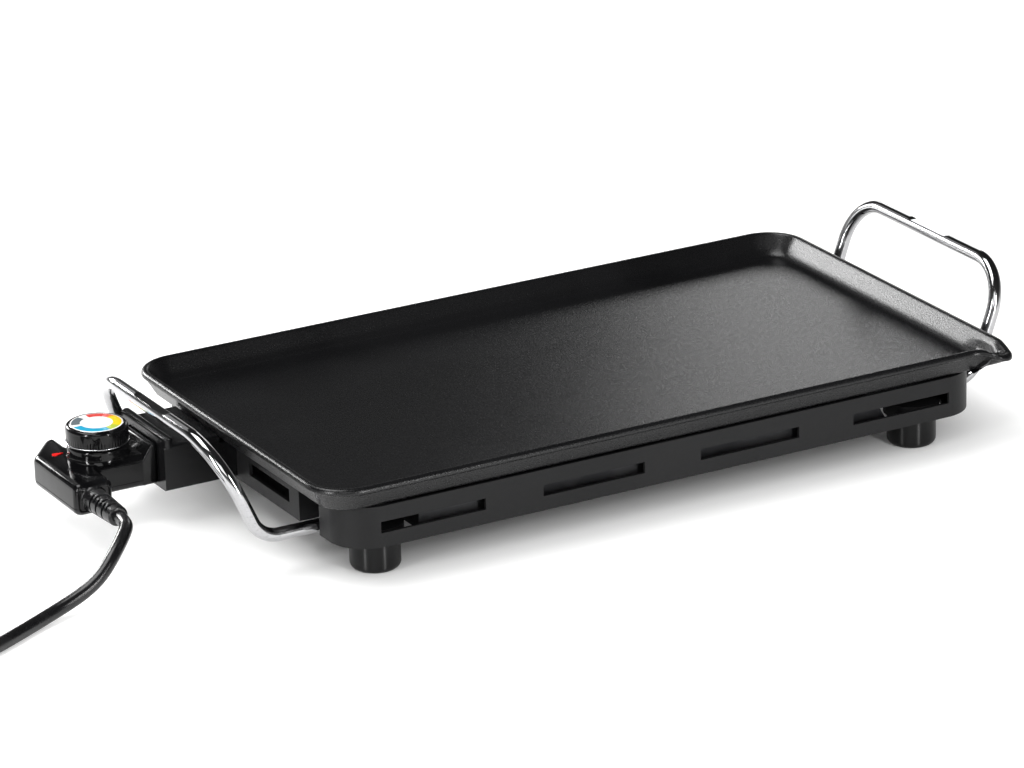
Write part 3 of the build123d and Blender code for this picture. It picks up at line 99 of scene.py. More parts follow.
def coil_points(start, heading):
    """Quarter turn k has radius R - p min(k, K - k) / 4: in, then out again.

    The height is one layer below the middle turn and two above it, eased over
    half a turn, and the last quarter rises to the plug's middle. The radius is
    spread a little, because a spline runs inside its points.
    """
    pitch, layer_rise, low, quarters = 0.0085, 0.0085, 0.0051, 18
    k = np.arange(0, quarters + 0.01, 0.25)
    radius = coil_radius - np.minimum(k, quarters - k) * pitch / 4
    right = np.array([heading[1], -heading[0], 0.0])
    centre = start + right * coil_radius
    first = np.arctan2(start[1] - centre[1], start[0] - centre[0])
    angle = first - k * pi / 2
    ease = np.clip((k - quarters / 2 + 1) / 2, 0, 1)
    ease = ease * ease * (3 - 2 * ease)
    height = low + layer_rise * ease
    height = np.where(k < 1, cord_radius + (low - cord_radius) * k, height)
    rise = np.clip(k - (quarters - 1), 0, 1)
    height = height + (plug_height - low - layer_rise) * rise * rise * (3 - 2 * rise)
    spread = 1.0125
    x = centre[0] + spread * radius * np.cos(angle)
    y = centre[1] + spread * radius * np.sin(angle)
    leaving = np.array([np.sin(angle[-1]), -np.cos(angle[-1]), 0.0])
    return np.stack([x, y, height], axis=1), centre, leaving


last_run = route[-1] - route[-2]
coil_heading = last_run / np.linalg.norm(last_run)
coil_start = route[-1] + coil_heading * 0.008
turns, coil_centre, tail_heading = coil_points(coil_start, coil_heading)
tail_start = coil_centre + np.array([-tail_heading[1], tail_heading[0], 0.0]) * coil_radius
tail_start[2] = plug_height
tail_end = tail_start + tail_heading * 0.046
tail = np.stack([tail_start + tail_heading * 0.016, tail_start + tail_heading * 0.032, tail_end])
cord_line = np.concatenate([route, turns[1:], tail])
print("points on the cord", len(cord_line), "tail heading", np.round(tail_heading, 3))

# %% [markdown]
# The points are the cage of one curve with a round section, so the cord stays
# a live spline with an even thickness and closed ends.

# %% Cord
cord_data = bpy.data.curves.new("cord", "CURVE")
cord_data.dimensions = "3D"
line = cord_data.splines.new("NURBS")
line.points.add(len(cord_line) - 1)
line.points.foreach_set("co", np.column_stack([cord_line, np.ones(len(cord_line))]).ravel())
line.order_u = 3
line.use_endpoint_u = True
line.resolution_u = 10
cord_data.bevel_depth = cord_radius
cord_data.bevel_resolution = 7
cord_data.use_fill_caps = True
cord = bpy.data.objects.new("cord", cord_data)
scene.collection.objects.link(cord)
print("cord made", cord.name)

# %% [markdown]
# Three effects come back in many finishes, so each is a node group with named
# inputs and outputs: a fine grain, slow cloudy tone, and thin scratches.

# %% Node groups
def new_group(name, inputs, output):
    """A node group with number inputs and one number output."""
    group = bpy.data.node_groups.new(name, "ShaderNodeTree")
    for label, value in inputs:
        socket = group.interface.new_socket(label, in_out="INPUT", socket_type="NodeSocketFloat")
        socket.default_value = value
    group.interface.new_socket(output, in_out="OUTPUT", socket_type="NodeSocketFloat")
    return group, group.nodes.new("NodeGroupInput"), group.nodes.new("NodeGroupOutput")


def join(tree, *pairs):
    """Links the output of each pair to its input."""
    for output, socket in pairs:
        tree.links.new(output, socket)


def math_node(nodes, kind, *values):
    """One arithmetic node, fed by outputs or plain numbers."""
    node = nodes.new("ShaderNodeMath")
    node.operation = kind
    for socket, value in zip(node.inputs, values):
        if isinstance(value, (int, float)):
            socket.default_value = value
        else:
            node.id_data.links.new(value, socket)
    return node.outputs[0]


grain_group, given, result = new_group("fine_grain", [("Scale", 900.0), ("Detail", 3.0)], "Height")
where = grain_group.nodes.new("ShaderNodeTexCoord")
noise = grain_group.nodes.new("ShaderNodeTexNoise")
join(grain_group,
     (where.outputs["Object"], noise.inputs["Vector"]),
     (given.outputs["Scale"], noise.inputs["Scale"]),
     (given.outputs["Detail"], noise.inputs["Detail"]),
     (noise.outputs["Fac"], result.inputs["Height"]))

cloud_group, given, result = new_group("slow_tone", [("Scale", 14.0), ("Low", 0.4), ("High", 0.62)], "Mask")
where = cloud_group.nodes.new("ShaderNodeTexCoord")
noise = cloud_group.nodes.new("ShaderNodeTexNoise")
noise.inputs["Detail"].default_value = 4.0
spread = cloud_group.nodes.new("ShaderNodeMapRange")
spread.interpolation_type = "SMOOTHSTEP"
join(cloud_group,
     (where.outputs["Object"], noise.inputs["Vector"]),
     (given.outputs["Scale"], noise.inputs["Scale"]),
     (noise.outputs["Fac"], spread.inputs["Value"]),
     (given.outputs["Low"], spread.inputs["From Min"]),
     (given.outputs["High"], spread.inputs["From Max"]),
     (spread.outputs["Result"], result.inputs["Mask"]))

scratch_group, given, result = new_group("thin_scratches", [("Scale", 40.0), ("Width", 0.03)], "Mask")
where = scratch_group.nodes.new("ShaderNodeTexCoord")
stretch = scratch_group.nodes.new("ShaderNodeMapping")
stretch.inputs["Rotation"].default_value = (0.0, 0.0, 0.6)
stretch.inputs["Scale"].default_value = (1.0, 9.0, 4.0)
noise = scratch_group.nodes.new("ShaderNodeTexNoise")
noise.inputs["Detail"].default_value = 2.0
from_middle = math_node(scratch_group.nodes, "SUBTRACT", noise.outputs["Fac"], 0.5)
away = math_node(scratch_group.nodes, "ABSOLUTE", from_middle)
near = math_node(scratch_group.nodes, "LESS_THAN", away, given.outputs["Width"])
join(scratch_group,
     (where.outputs["Object"], stretch.inputs["Vector"]),
     (stretch.outputs["Vector"], noise.inputs["Vector"]),
     (given.outputs["Scale"], noise.inputs["Scale"]),
     (near, result.inputs["Mask"]))
print("node groups", [g.name for g in bpy.data.node_groups])

# %% [markdown]
# A finish starts as one shader with its plain numbers on it. Small helpers
# add what varies over the surface: two tones, a span of roughness and a bump.

# %% Finish helpers
finishes = {}


def finish(name, colour, roughness, metallic=0.0, **plain):
    """A material with plain numbers on its shader. Other sockets are named with _ for a space."""
    material = bpy.data.materials.new(name)
    material.use_nodes = True
    shader = material.node_tree.nodes["Principled BSDF"]
    shader.inputs["Base Color"].default_value = (*colour, 1.0)
    shader.inputs["Roughness"].default_value = roughness
    shader.inputs["Metallic"].default_value = metallic
    for label, value in plain.items():
        shader.inputs[label.replace("_", " ")].default_value = value
    finishes[name] = material
    return material, shader


def use(material, group, output, **values):
    """Places a node group in a material with its own values, and gives one output."""
    node = material.node_tree.nodes.new("ShaderNodeGroup")
    node.node_tree = group
    for label, value in values.items():
        node.inputs[label].default_value = value
    return node.outputs[output]


def two_tones(material, mask, low, high):
    """The colour low + (high - low) times the mask."""
    mix = material.node_tree.nodes.new("ShaderNodeMix")
    mix.data_type = "RGBA"
    mix.inputs["A"].default_value = (*low, 1.0)
    mix.inputs["B"].default_value = (*high, 1.0)
    material.node_tree.links.new(mask, mix.inputs["Factor"])
    return mix.outputs["Result"]


def span(material, mask, low, high):
    """The number low + (high - low) times the mask."""
    ranged = material.node_tree.nodes.new("ShaderNodeMapRange")
    ranged.inputs["To Min"].default_value = low
    ranged.inputs["To Max"].default_value = high
    material.node_tree.links.new(mask, ranged.inputs["Value"])
    return ranged.outputs["Result"]


def bump(material, height, distance, strength=1.0, under=None):
    """A normal tilted by the slope of a height, laid over another normal if one is given."""
    node = material.node_tree.nodes.new("ShaderNodeBump")
    node.inputs["Distance"].default_value = distance
    node.inputs["Strength"].default_value = strength
    material.node_tree.links.new(height, node.inputs["Height"])
    if under is not None:
        material.node_tree.links.new(under, node.inputs["Normal"])
    return node.outputs["Normal"]


def feed(material, shader, **sockets):
    """Links outputs to the shader's named sockets."""
    for label, value in sockets.items():
        material.node_tree.links.new(value, shader.inputs[label.replace("_", " ")])


def clouded(name, colour, roughness, scale, gloss, tones=None, **plain):
    """A finish whose roughness, and tone if two are given, drift slowly between two values."""
    material, shader = finish(name, colour, roughness, **plain)
    clouds = use(material, cloud_group, "Mask", Scale=scale)
    feed(material, shader, Roughness=span(material, clouds, *gloss))
    if tones:
        feed(material, shader, Base_Color=two_tones(material, clouds, *tones))


print("finish helpers ready, finishes", len(finishes))

# %% [markdown]
# The plate is cast aluminium with a dark non-stick coating. The real one has
# a fine pebbled skin that glitters a little at low angles, so the finish has
# a small bump in two sizes, and faint clouds where it was wiped.

# %% Finish of the plate
coating, shader = finish("plate_coating", (0.004, 0.004, 0.0045), 0.3, Specular_IOR_Level=0.42)
clouds = use(coating, cloud_group, "Mask", Scale=9.0)
fine = use(coating, grain_group, "Height", Scale=1500.0, Detail=3.0)
coarse = use(coating, grain_group, "Height", Scale=900.0, Detail=2.0)
feed(coating, shader,
     Base_Color=two_tones(coating, clouds, (0.003, 0.003, 0.0034), (0.0055, 0.0055, 0.006)),
     Roughness=span(coating, fine, 0.2, 0.37),
     Normal=bump(coating, fine, 0.00007, under=bump(coating, coarse, 0.00009, 0.8)))
print("finish made", coating.name)

# %% [markdown]
# The base is sheet painted in a satin charcoal, a little rougher than the
# plate's rim. Inside it sits a steel sheet made dark all over, as painted shade for the shaded inside of
# the base.

# %% Finishes of the base, reflector and element
paint, shader = finish("base_coating", (0.009, 0.009, 0.0095), 0.44, Specular_IOR_Level=0.2)
skin = use(paint, grain_group, "Height", Scale=1100.0, Detail=2.0)
clouds = use(paint, cloud_group, "Mask", Scale=11.0)
feed(paint, shader,
     Base_Color=two_tones(paint, clouds, (0.008, 0.008, 0.0084), (0.0105, 0.0105, 0.011)),
     Roughness=span(paint, skin, 0.36, 0.5),
     Normal=bump(paint, skin, 0.00008))

# The reflector's steel colour is darkened as painted shade for the inside of the base.
shade_darkened_steel, shader = finish("reflector_steel", (0.04, 0.04, 0.042), 0.55, 1.0)
clouds = use(shade_darkened_steel, cloud_group, "Mask", Scale=30.0)
lines = use(shade_darkened_steel, scratch_group, "Mask", Scale=60.0, Width=0.02)
feed(shade_darkened_steel, shader,
     Base_Color=two_tones(shade_darkened_steel, clouds, (0.032, 0.032, 0.034), (0.052, 0.052, 0.054)),
     Roughness=span(shade_darkened_steel, lines, 0.55, 0.42))

sheath, shader = finish("element_sheath", (0.22, 0.21, 0.2), 0.5, 1.0)
clouds = use(sheath, cloud_group, "Mask", Scale=35.0)
skin = use(sheath, grain_group, "Height", Scale=1400.0, Detail=2.0)
feed(sheath, shader,
     Base_Color=two_tones(sheath, clouds, (0.18, 0.165, 0.15), (0.3, 0.29, 0.28)),
     Roughness=span(sheath, skin, 0.38, 0.6))

clouded("zinc_steel", (0.56, 0.57, 0.6), 0.3, 160.0, (0.26, 0.4),
        ((0.5, 0.51, 0.55), (0.64, 0.64, 0.64)), metallic=1.0)
print("finishes", len(finishes))

# %% [markdown]
# The grips are chromed steel rod. Chrome is nearly a mirror, and what shows
# it is real are the faint drawn lines and the slightly uneven gloss.

# %% Finishes of the bright metal
chrome, shader = finish("chrome_rod", (0.52, 0.52, 0.53), 0.1, 1.0)
clouds = use(chrome, cloud_group, "Mask", Scale=25.0)
lines = use(chrome, scratch_group, "Mask", Scale=90.0, Width=0.012)
feed(chrome, shader,
     Base_Color=two_tones(chrome, lines, (0.52, 0.52, 0.53), (0.42, 0.42, 0.43)),
     Roughness=span(chrome, clouds, 0.07, 0.15))

clouded("bright_trim", (0.76, 0.76, 0.78), 0.18, 120.0, (0.14, 0.26), metallic=1.0)
clouded("nickel_contact", (0.6, 0.57, 0.52), 0.25, 110.0, (0.2, 0.34),
        ((0.54, 0.51, 0.46), (0.66, 0.63, 0.58)), metallic=1.0)
clouded("brass_contact", (0.6, 0.43, 0.17), 0.28, 110.0, (0.24, 0.4),
        ((0.5, 0.35, 0.13), (0.68, 0.5, 0.22)), metallic=1.0)
print("finishes", len(finishes))

# %% [markdown]
# The control and the feet are black moulded plastic from a polished tool:
# glossy, with a very slight ripple. The receptacle and the cord's relief are
# nearly as glossy, with a little grain that their tool left. The feet were
# turned, and their fine rings draw every reflection out into an upright line.

# %% Finishes of the plastics
gloss, shader = finish("gloss_black", (0.003, 0.003, 0.003), 0.12, Specular_IOR_Level=0.32)
ripple = use(gloss, grain_group, "Height", Scale=70.0, Detail=1.0)
clouds = use(gloss, cloud_group, "Mask", Scale=40.0)
feed(gloss, shader,
     Base_Color=two_tones(gloss, clouds, (0.0025, 0.0025, 0.0028), (0.004, 0.004, 0.0044)),
     Roughness=span(gloss, clouds, 0.09, 0.17),
     Normal=bump(gloss, ripple, 0.00035, 0.35))

foot_black, shader = finish("foot_black", (0.002, 0.002, 0.002), 0.3, Specular_IOR_Level=0.32,
                            Anisotropic=1.0, Anisotropic_Rotation=0.25)
round_way = foot_black.node_tree.nodes.new("ShaderNodeTangent")
round_way.direction_type = "RADIAL"
round_way.axis = "Z"
clouds = use(foot_black, cloud_group, "Mask", Scale=60.0)
feed(foot_black, shader, Tangent=round_way.outputs["Tangent"],
     Base_Color=two_tones(foot_black, clouds, (0.0015, 0.0015, 0.0017), (0.0025, 0.0025, 0.0028)))

satin, shader = finish("satin_black", (0.004, 0.004, 0.0044), 0.2, Specular_IOR_Level=0.3)
skin = use(satin, grain_group, "Height", Scale=1900.0, Detail=2.0)
feed(satin, shader,
     Base_Color=two_tones(satin, skin, (0.003, 0.003, 0.0034), (0.005, 0.005, 0.0055)),
     Roughness=span(satin, skin, 0.13, 0.23),
     Normal=bump(satin, skin, 0.00004))

rubber, shader = finish("cord_jacket", (0.006, 0.006, 0.006), 0.3)
skin = use(rubber, grain_group, "Height", Scale=1300.0, Detail=3.0)
dust = use(rubber, cloud_group, "Mask", Scale=45.0, Low=0.5, High=0.75)
feed(rubber, shader,
     Base_Color=two_tones(rubber, dust, (0.005, 0.005, 0.0055), (0.01, 0.01, 0.0105)),
     Roughness=span(rubber, dust, 0.24, 0.38),
     Normal=bump(rubber, skin, 0.00006))

band, shader = finish("tie_band", (0.035, 0.035, 0.038), 0.7)
weave = use(band, grain_group, "Height", Scale=2300.0, Detail=1.0)
feed(band, shader,
     Base_Color=two_tones(band, weave, (0.02, 0.02, 0.022), (0.055, 0.055, 0.058)),
     Normal=bump(band, weave, 0.0002))

clouded("lead_insulation", (0.22, 0.12, 0.06), 0.4, 80.0, (0.34, 0.5),
        ((0.19, 0.1, 0.05), (0.25, 0.14, 0.07)))
clouded("ceramic", (0.8, 0.77, 0.7), 0.25, 60.0, (0.2, 0.34),
        ((0.74, 0.7, 0.62), (0.84, 0.82, 0.77)), Coat_Weight=0.4)
print("finishes", len(finishes))

# %% [markdown]
# The lamp's lens is red plastic, a deep plain colour under a gloss. The small
# lamp behind it is tinted glass, so most of its light passes through.

# %% Finishes of the lens and the lamp
clouded("red_lens", (0.8, 0.012, 0.01), 0.12, 300.0, (0.08, 0.2), IOR=1.49)
clouded("lamp_glass", (0.9, 0.6, 0.4), 0.08, 200.0, (0.05, 0.14), Transmission_Weight=0.8, IOR=1.5)
print("finishes", len(finishes))

# %% [markdown]
# The dial is a printed disc. Its ring has coloured parts and a grey one, with
# two white gaps, and its middle is left white. The print is worked out from
# the angle and the distance to the dial's middle, so it turns with the dial.

# %% Distance and turn about the dial's middle
def distance_node(nodes, x, y):
    """The distance sqrt(x^2 + y^2)."""
    squares = [math_node(nodes, "MULTIPLY", part, part) for part in (x, y)]
    return math_node(nodes, "SQRT", math_node(nodes, "ADD", *squares))


knob_x, knob_y, knob_top = -0.2883, 0.0473, 0.061
dial_centre = plate_centre + np.array([knob_x, knob_y, knob_top])
print_disc, shader = finish("dial_print", (0.86, 0.86, 0.85), 0.22, Coat_Weight=0.3)
nodes = print_disc.node_tree.nodes
where = nodes.new("ShaderNodeTexCoord")
moved = nodes.new("ShaderNodeMapping")
moved.inputs["Location"].default_value = tuple(-dial_centre)
axes = nodes.new("ShaderNodeSeparateXYZ")
away = distance_node(nodes, axes.outputs["X"], axes.outputs["Y"])
angle = math_node(nodes, "ARCTAN2", axes.outputs["Y"], axes.outputs["X"])
turns_round = math_node(nodes, "DIVIDE", angle, 2 * pi)
turn_of = math_node(nodes, "FRACT", math_node(nodes, "ADD", turns_round, 1.0))
join(print_disc.node_tree,
     (where.outputs["Object"], moved.inputs["Vector"]),
     (moved.outputs["Vector"], axes.inputs["Vector"]))
print("dial's middle", dial_centre)

# %% [markdown]
# A ramp with hard steps gives the colour for each part of a turn, and two
# limits on the distance keep it inside the ring.

# %% Print of the dial
ramp = nodes.new("ShaderNodeValToRGB")
ramp.color_ramp.interpolation = "CONSTANT"
white, red, orange = (0.86, 0.86, 0.85), (0.66, 0.06, 0.05), (0.85, 0.28, 0.03)
yellow, green = (0.93, 0.6, 0.012), (0.42, 0.5, 0.045)
blue, grey = (0.02, 0.33, 0.52), (0.12, 0.145, 0.16)
stops = [(0.0, yellow), (0.058, orange), (0.082, red), (0.251, white), (0.309, grey),
         (0.462, white), (0.498, blue), (0.773, green), (0.865, yellow)]
ring_inner, ring_outer = 0.0096, 0.0147
ramp.color_ramp.elements[0].color = (*stops[0][1], 1)
ramp.color_ramp.elements[1].position = stops[1][0]
ramp.color_ramp.elements[1].color = (*stops[1][1], 1)
for at, colour in stops[2:]:
    stop = ramp.color_ramp.elements.new(at)
    stop.color = (*colour, 1)
outside = math_node(nodes, "GREATER_THAN", away, ring_inner)
inside = math_node(nodes, "LESS_THAN", away, ring_outer)
ringed = math_node(nodes, "MULTIPLY", outside, inside)
mix = nodes.new("ShaderNodeMix")
mix.data_type = "RGBA"
mix.inputs["A"].default_value = (*white, 1)
join(print_disc.node_tree,
     (turn_of, ramp.inputs["Fac"]),
     (ringed, mix.inputs["Factor"]),
     (ramp.outputs["Color"], mix.inputs["B"]))
clouds = use(print_disc, cloud_group, "Mask", Scale=90.0)
feed(print_disc, shader,
     Base_Color=mix.outputs["Result"],
     Roughness=span(print_disc, clouds, 0.18, 0.3))
print("colours on the dial", len(stops))

# %% [markdown]
# Each solid part takes the finish that the record names for it.

# %% Finishes on the solid parts
slot_of = {part["node"]: part["material_slot"] for part in frame["record"]["subparts"]}
for name, part in frame["nodes"].items():
    part.data.materials.clear()
    part.data.materials.append(finishes[slot_of[name]])


def dress(piece, body, slot, *nodes, look=None):
    """Gives a piece its finish and its body, and lets it stand for the named solids.

    The finish is the slot's own, unless a closer look for this piece is named.
    """
    piece.data.materials.append(finishes[look or slot])
    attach(piece, body)
    if nodes:
        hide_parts(*nodes)
    return piece


print("solids with a finish", len(slot_of))
# %% [markdown]
# Every new shape is a grid of points worked out at once. One helper turns a
# grid into a mesh: rows run along the piece, columns run round it. A tube's
# ends are closed with a fan or with one flat face.

# %% A grid into a mesh
def from_grid(name, points, around=True, caps=None, closed_rows=False):
    """A mesh from an (n, m, 3) grid: quad (i, j) joins points i, i + 1 and j, j + 1.

    A cap closes a tube's end: one flat face, or a fan to the mean point of its row.
    """
    n, m, _ = points.shape
    rows = n if closed_rows else n - 1
    i, j = np.meshgrid(np.arange(rows), np.arange(m if around else m - 1), indexing="ij")
    k = (j + 1) % m
    h = (i + 1) % n
    faces = np.stack([i * m + j, i * m + k, h * m + k, h * m + j], axis=-1).reshape(-1, 4).tolist()
    verts = points.reshape(-1, 3)
    first = np.arange(m)
    last = first + (n - 1) * m
    if caps == "flat":
        faces += [first[::-1].tolist(), last.tolist()]
    elif caps == "fan":
        middles = np.stack([points[0].mean(axis=0), points[-1].mean(axis=0)])
        for at, a, b in ((0, np.roll(first, -1), first), (1, last, np.roll(last, -1))):
            faces += np.stack([np.full(m, len(verts) + at), a, b], axis=1).tolist()
        verts = np.vstack([verts, middles])
    data = bpy.data.meshes.new(name)
    data.from_pydata(verts.tolist(), [], faces)
    data.shade_smooth()
    data.set_sharp_from_angle(angle=radians(38))
    piece = bpy.data.objects.new(name, data)
    scene.collection.objects.link(piece)
    print(name, "made with", len(faces), "faces")
    return piece

# %% [markdown]
# The plate is the piece that is seen most. It is one closed surface: rings
# of points round its outline, from the middle of the tray up over the rim and
# down the outer wall. At the pouring corner the outline swells into a lobe
# made of three tangent arcs, and the tray's wall stretches out into it. The
# height is a smooth minimum of the rim's top and the tray.

# %% Outline of the plate
half_x, half_y, corner = 0.230, 0.130, 0.026
table_z, floor_z, rim_z = 0.045, 0.0483, 0.061
heart = np.array([half_x - corner, -(half_y - corner)])
spout_turn, spout_reach, lobe_start = radians(-62.0), 0.032, 0.13


def circle_reach(angle, centre, radius, far=True):
    """Distance from the heart to a circle along an angle: c cos d +- sqrt(r^2 - (c sin d)^2)."""
    offset = np.asarray(centre) - heart
    c = np.hypot(*offset)
    d = angle - np.arctan2(offset[1], offset[0])
    root = np.sqrt(np.clip(radius ** 2 - (c * np.sin(d)) ** 2, 0, None))
    return c * np.cos(d) + (root if far else -root)


def lobe_reach(angle, inset):
    """The lobe about the heart: near arc, tip arc, far arc and the straight side, moved in."""
    tip_radius, near_radius, far_drop = 0.008, 0.014, 0.008
    tip = heart + spout_reach * np.array([cos(spout_turn), sin(spout_turn)])
    near_y = -half_y - near_radius
    near_x = tip[0] - np.sqrt((near_radius + tip_radius) ** 2 - (tip[1] - near_y) ** 2)
    far_y = heart[1] - far_drop
    a, b = half_x - tip[0], far_y - tip[1]
    far_radius = (a * a + b * b - tip_radius ** 2) / (2 * (a - tip_radius))
    far_centre = np.array([half_x - far_radius, far_y])
    near_centre = np.array([near_x, near_y])
    near_way = tip - near_centre
    far_way = tip - far_centre
    near_join = np.arctan2(*(near_centre + near_way / np.hypot(*near_way) * near_radius - heart)[::-1])
    far_join = np.arctan2(*(far_centre + far_way / np.hypot(*far_way) * far_radius - heart)[::-1])
    far_end = np.arctan2(-far_drop, corner)
    near = circle_reach(angle, near_centre, near_radius + inset, far=False)
    middle = circle_reach(angle, tip, tip_radius - inset)
    far = circle_reach(angle, far_centre, far_radius - inset)
    side = (corner - inset) / np.cos(angle)
    start = (corner - inset) / np.clip(-np.sin(angle), 0.2, None)
    near_start = np.arctan2(-corner, near_x - heart[0])
    return np.select([angle < near_start, angle < near_join, angle < far_join, angle < far_end],
                     [start, near, middle, far], side)


corner_turns = np.linspace(0, pi / 2, 20)
lobe_turns = np.linspace(-pi / 2 - lobe_start, 0, 110)
long_side = np.linspace(-1, 1, 60)[1:-1]
short_side = np.linspace(-1, 1, 34)[1:-1]
print("points on the lobe", len(lobe_turns))

# %% [markdown]
# One ring is the outline moved in by some inset. Every ring has the same
# number of points, so the rings join into one grid.

# %% A ring of the plate
def plate_ring(inset, swell, square=0.0):
    """The outline moved in by inset, with the lobe drawn out by swell from the plain corner.

    Plain corners: centre + (R - inset)(cos t, sin t). Lobe: the mean of the plain
    corner's reach and the lobe's, weighted by swell. The tray's foot has a squarer
    corner there, on |x|^p + |y|^p = r^p with p from 2 to 6, so that its side wall
    runs straight into the lobe.
    """
    r = corner - inset
    w, d = half_x - corner, half_y - corner
    reach_start = heart[0] - r * np.tan(lobe_start)
    sides = []
    p = 2 + 4 * np.clip((inset - 0.0042) / 0.006, 0, 1) * square
    squared = r * (np.abs(np.cos(lobe_turns)) ** p + np.abs(np.sin(lobe_turns)) ** p) ** (-1 / p)
    plain = np.where(lobe_turns < -pi / 2, r / np.clip(-np.sin(lobe_turns), 0.2, None), squared)
    deepest_inset = 0.0066
    lobed = lobe_reach(lobe_turns, min(inset, deepest_inset))
    reach = plain + swell * np.clip(lobed - plain, 0, None)
    sides.append(heart + reach[:, None] * np.stack([np.cos(lobe_turns), np.sin(lobe_turns)], axis=1))
    sides.append(np.stack([np.full(len(short_side), half_x - inset), short_side * d], axis=1))
    for cx, cy, turn_start in ((w, d, 0.0), (-w, d, pi / 2), (-w, -d, pi)):
        t = corner_turns + turn_start
        sides.append(np.array([cx, cy]) + r * np.stack([np.cos(t), np.sin(t)], axis=1))
        if turn_start == 0.0:
            sides.append(np.stack([-long_side * w, np.full(len(long_side), half_y - inset)], axis=1))
        elif turn_start == pi / 2:
            sides.append(np.stack([np.full(len(short_side), -half_x + inset), -short_side * d], axis=1))
    last = np.linspace(-w, reach_start, 60)[1:-1]
    sides.append(np.stack([last, np.full(len(last), -half_y + inset)], axis=1))
    return np.concatenate(sides)


print("points round the plate", len(plate_ring(0.0, 1.0)))

# %% [markdown]
# The height of a point follows from its inset and from how far out in the
# spout it lies, because the rim falls towards the spout's tip.

# %% Heights of the plate's top
def smooth_min(a, b, soft):
    """A minimum with a rounded corner: min(a, b) - h^2 s / 4, h = max(s - |a - b|, 0) / s."""
    h = np.clip(soft - np.abs(a - b), 0, None) / soft
    return np.minimum(a, b) - h * h * soft / 4


def top_height(points, inset):
    """The rim falls 13 degrees along the lobe, and the wall inside it leans 33 degrees."""
    along = (points - heart) @ np.array([cos(spout_turn), sin(spout_turn)])
    top = rim_z - np.clip(along - 0.024, 0, None) * tan(radians(13.0))
    wall = top - (inset - 0.0038) / tan(radians(33.0))
    tray = -smooth_min(-wall, np.full(len(points), -floor_z), 0.0042)
    return smooth_min(top, tray, 0.0012)


print("height of the rim", top_height(plate_ring(0.0036, 0.0), 0.0036).max().round(4))

# %% [markdown]
# The rings run from the middle of the tray up its wall, round the rim's edge,
# down the outer wall and in under the plate, where a copy of the solid's own
# underside takes over.

# %% Surface of the plate
lip, edge, lower_round, wall_foot, outer_lean = 0.0035, 0.0026, 0.0006, 0.0012, radians(31.0)
turn_in = np.linspace(0, pi / 2, 9)
top_insets = [0.026, 0.0235, 0.021, 0.0185, 0.0165, 0.015, 0.014, 0.0131, 0.0122, 0.0113, 0.0103,
              0.0093, 0.0083, 0.0073, 0.0063, 0.0055, 0.0049, 0.0045, 0.0042, 0.0039, 0.0036,
              0.0032, 0.0028]
rings = []
for inset in top_insets:
    swell = np.clip(1 - (inset - 0.0045) / 0.0125, 0, 1)
    plan = plate_ring(min(inset, 0.0255), swell, square=1.0)
    rings.append(np.column_stack([plan, top_height(plan, inset)]))
rim_plan = plate_ring(0.0, 1.0)
rim_top = top_height(plate_ring(edge, 1.0), edge)
for t in turn_in[1:]:
    plan = plate_ring(edge * (1 - sin(t)), 1.0)
    rings.append(np.column_stack([plan, rim_top - edge * (1 - cos(t))]))
for t in np.linspace(0, pi / 2, 5):
    plan = plate_ring(lower_round * (1 - cos(t)), 1.0)
    rings.append(np.column_stack([plan, rim_top - lip + lower_round * (1 - sin(t))]))
wall_top = rim_z - lip
wall_height = wall_top - table_z - wall_foot
for share in np.linspace(0, 1, 16)[1:]:
    z = wall_top - share * wall_height
    plan = plate_ring(wall_foot + (wall_top - z) * tan(outer_lean), (1 - share) ** 0.8)
    sunk = rim_top - lip - share * wall_height
    low = z + (sunk - z) * (1 - share)
    rings.append(np.column_stack([plan, low]))
for inset, z in ((0.0098, 0.0454), (0.0112, 0.04508), (0.0130, 0.04505)):
    rings.append(np.column_stack([plate_ring(inset, 0.0), np.full(len(rim_plan), z)]))
plate_grid = (np.stack(rings) + plate_centre)[:, ::-1]
dress(from_grid("cast_plate", plate_grid, caps="fan"), "base", "plate_coating", "griddle_plate")
print("rings of the plate", len(rings))

# %% [markdown]
# Below the plate are the rib that holds the element, the screw bosses and the
# saddle of the probe's tube. They are flat and round forms that the solid
# already has, so a joined copy keeps only what lies under the tray. The sheet
# parts are joined copies too, some with a narrow bevel that catches the light.

# %% Copies of the solids
def smooth_copy(node, edge_width=0.0):
    """A copy of a solid part with its loose triangles joined, so that its rounded edges shade smoothly."""
    source = frame["nodes"][node]
    data = source.data.copy()
    joined = bmesh.new()
    joined.from_mesh(data)
    bmesh.ops.remove_doubles(joined, verts=joined.verts, dist=1e-6)
    if edge_width:
        bmesh.ops.dissolve_limit(joined, angle_limit=radians(0.6), verts=joined.verts, edges=joined.edges)
    joined.to_mesh(data)
    joined.free()
    data.materials.clear()
    if "custom_normal" in data.attributes:
        data.attributes.remove(data.attributes["custom_normal"])
    data.shade_smooth()
    data.set_sharp_from_angle(angle=radians(35))
    piece = bpy.data.objects.new(node + "_surface", data)
    scene.collection.objects.link(piece)
    if edge_width:
        rounded = piece.modifiers.new("rounded_edges", "BEVEL")
        rounded.width = edge_width
        rounded.segments = 2
        rounded.limit_method = "ANGLE"
        rounded.angle_limit = radians(50)
        rounded.harden_normals = False
    even = piece.modifiers.new("even_faces", "WEIGHTED_NORMAL")
    even.keep_sharp = True
    return piece


def part_of(node, name, keep):
    """The part of a solid's joined copy whose points all pass a test on their places."""
    piece = smooth_copy(node)
    piece.name = name
    joined = bmesh.new()
    joined.from_mesh(piece.data)
    kept = keep(np.array([v.co for v in joined.verts]))
    gone = [v for v, stays in zip(joined.verts, kept) if not stays]
    bmesh.ops.delete(joined, geom=gone, context="VERTS")
    joined.to_mesh(piece.data)
    joined.free()
    return piece


print("solids that can be copied", len(frame["nodes"]))

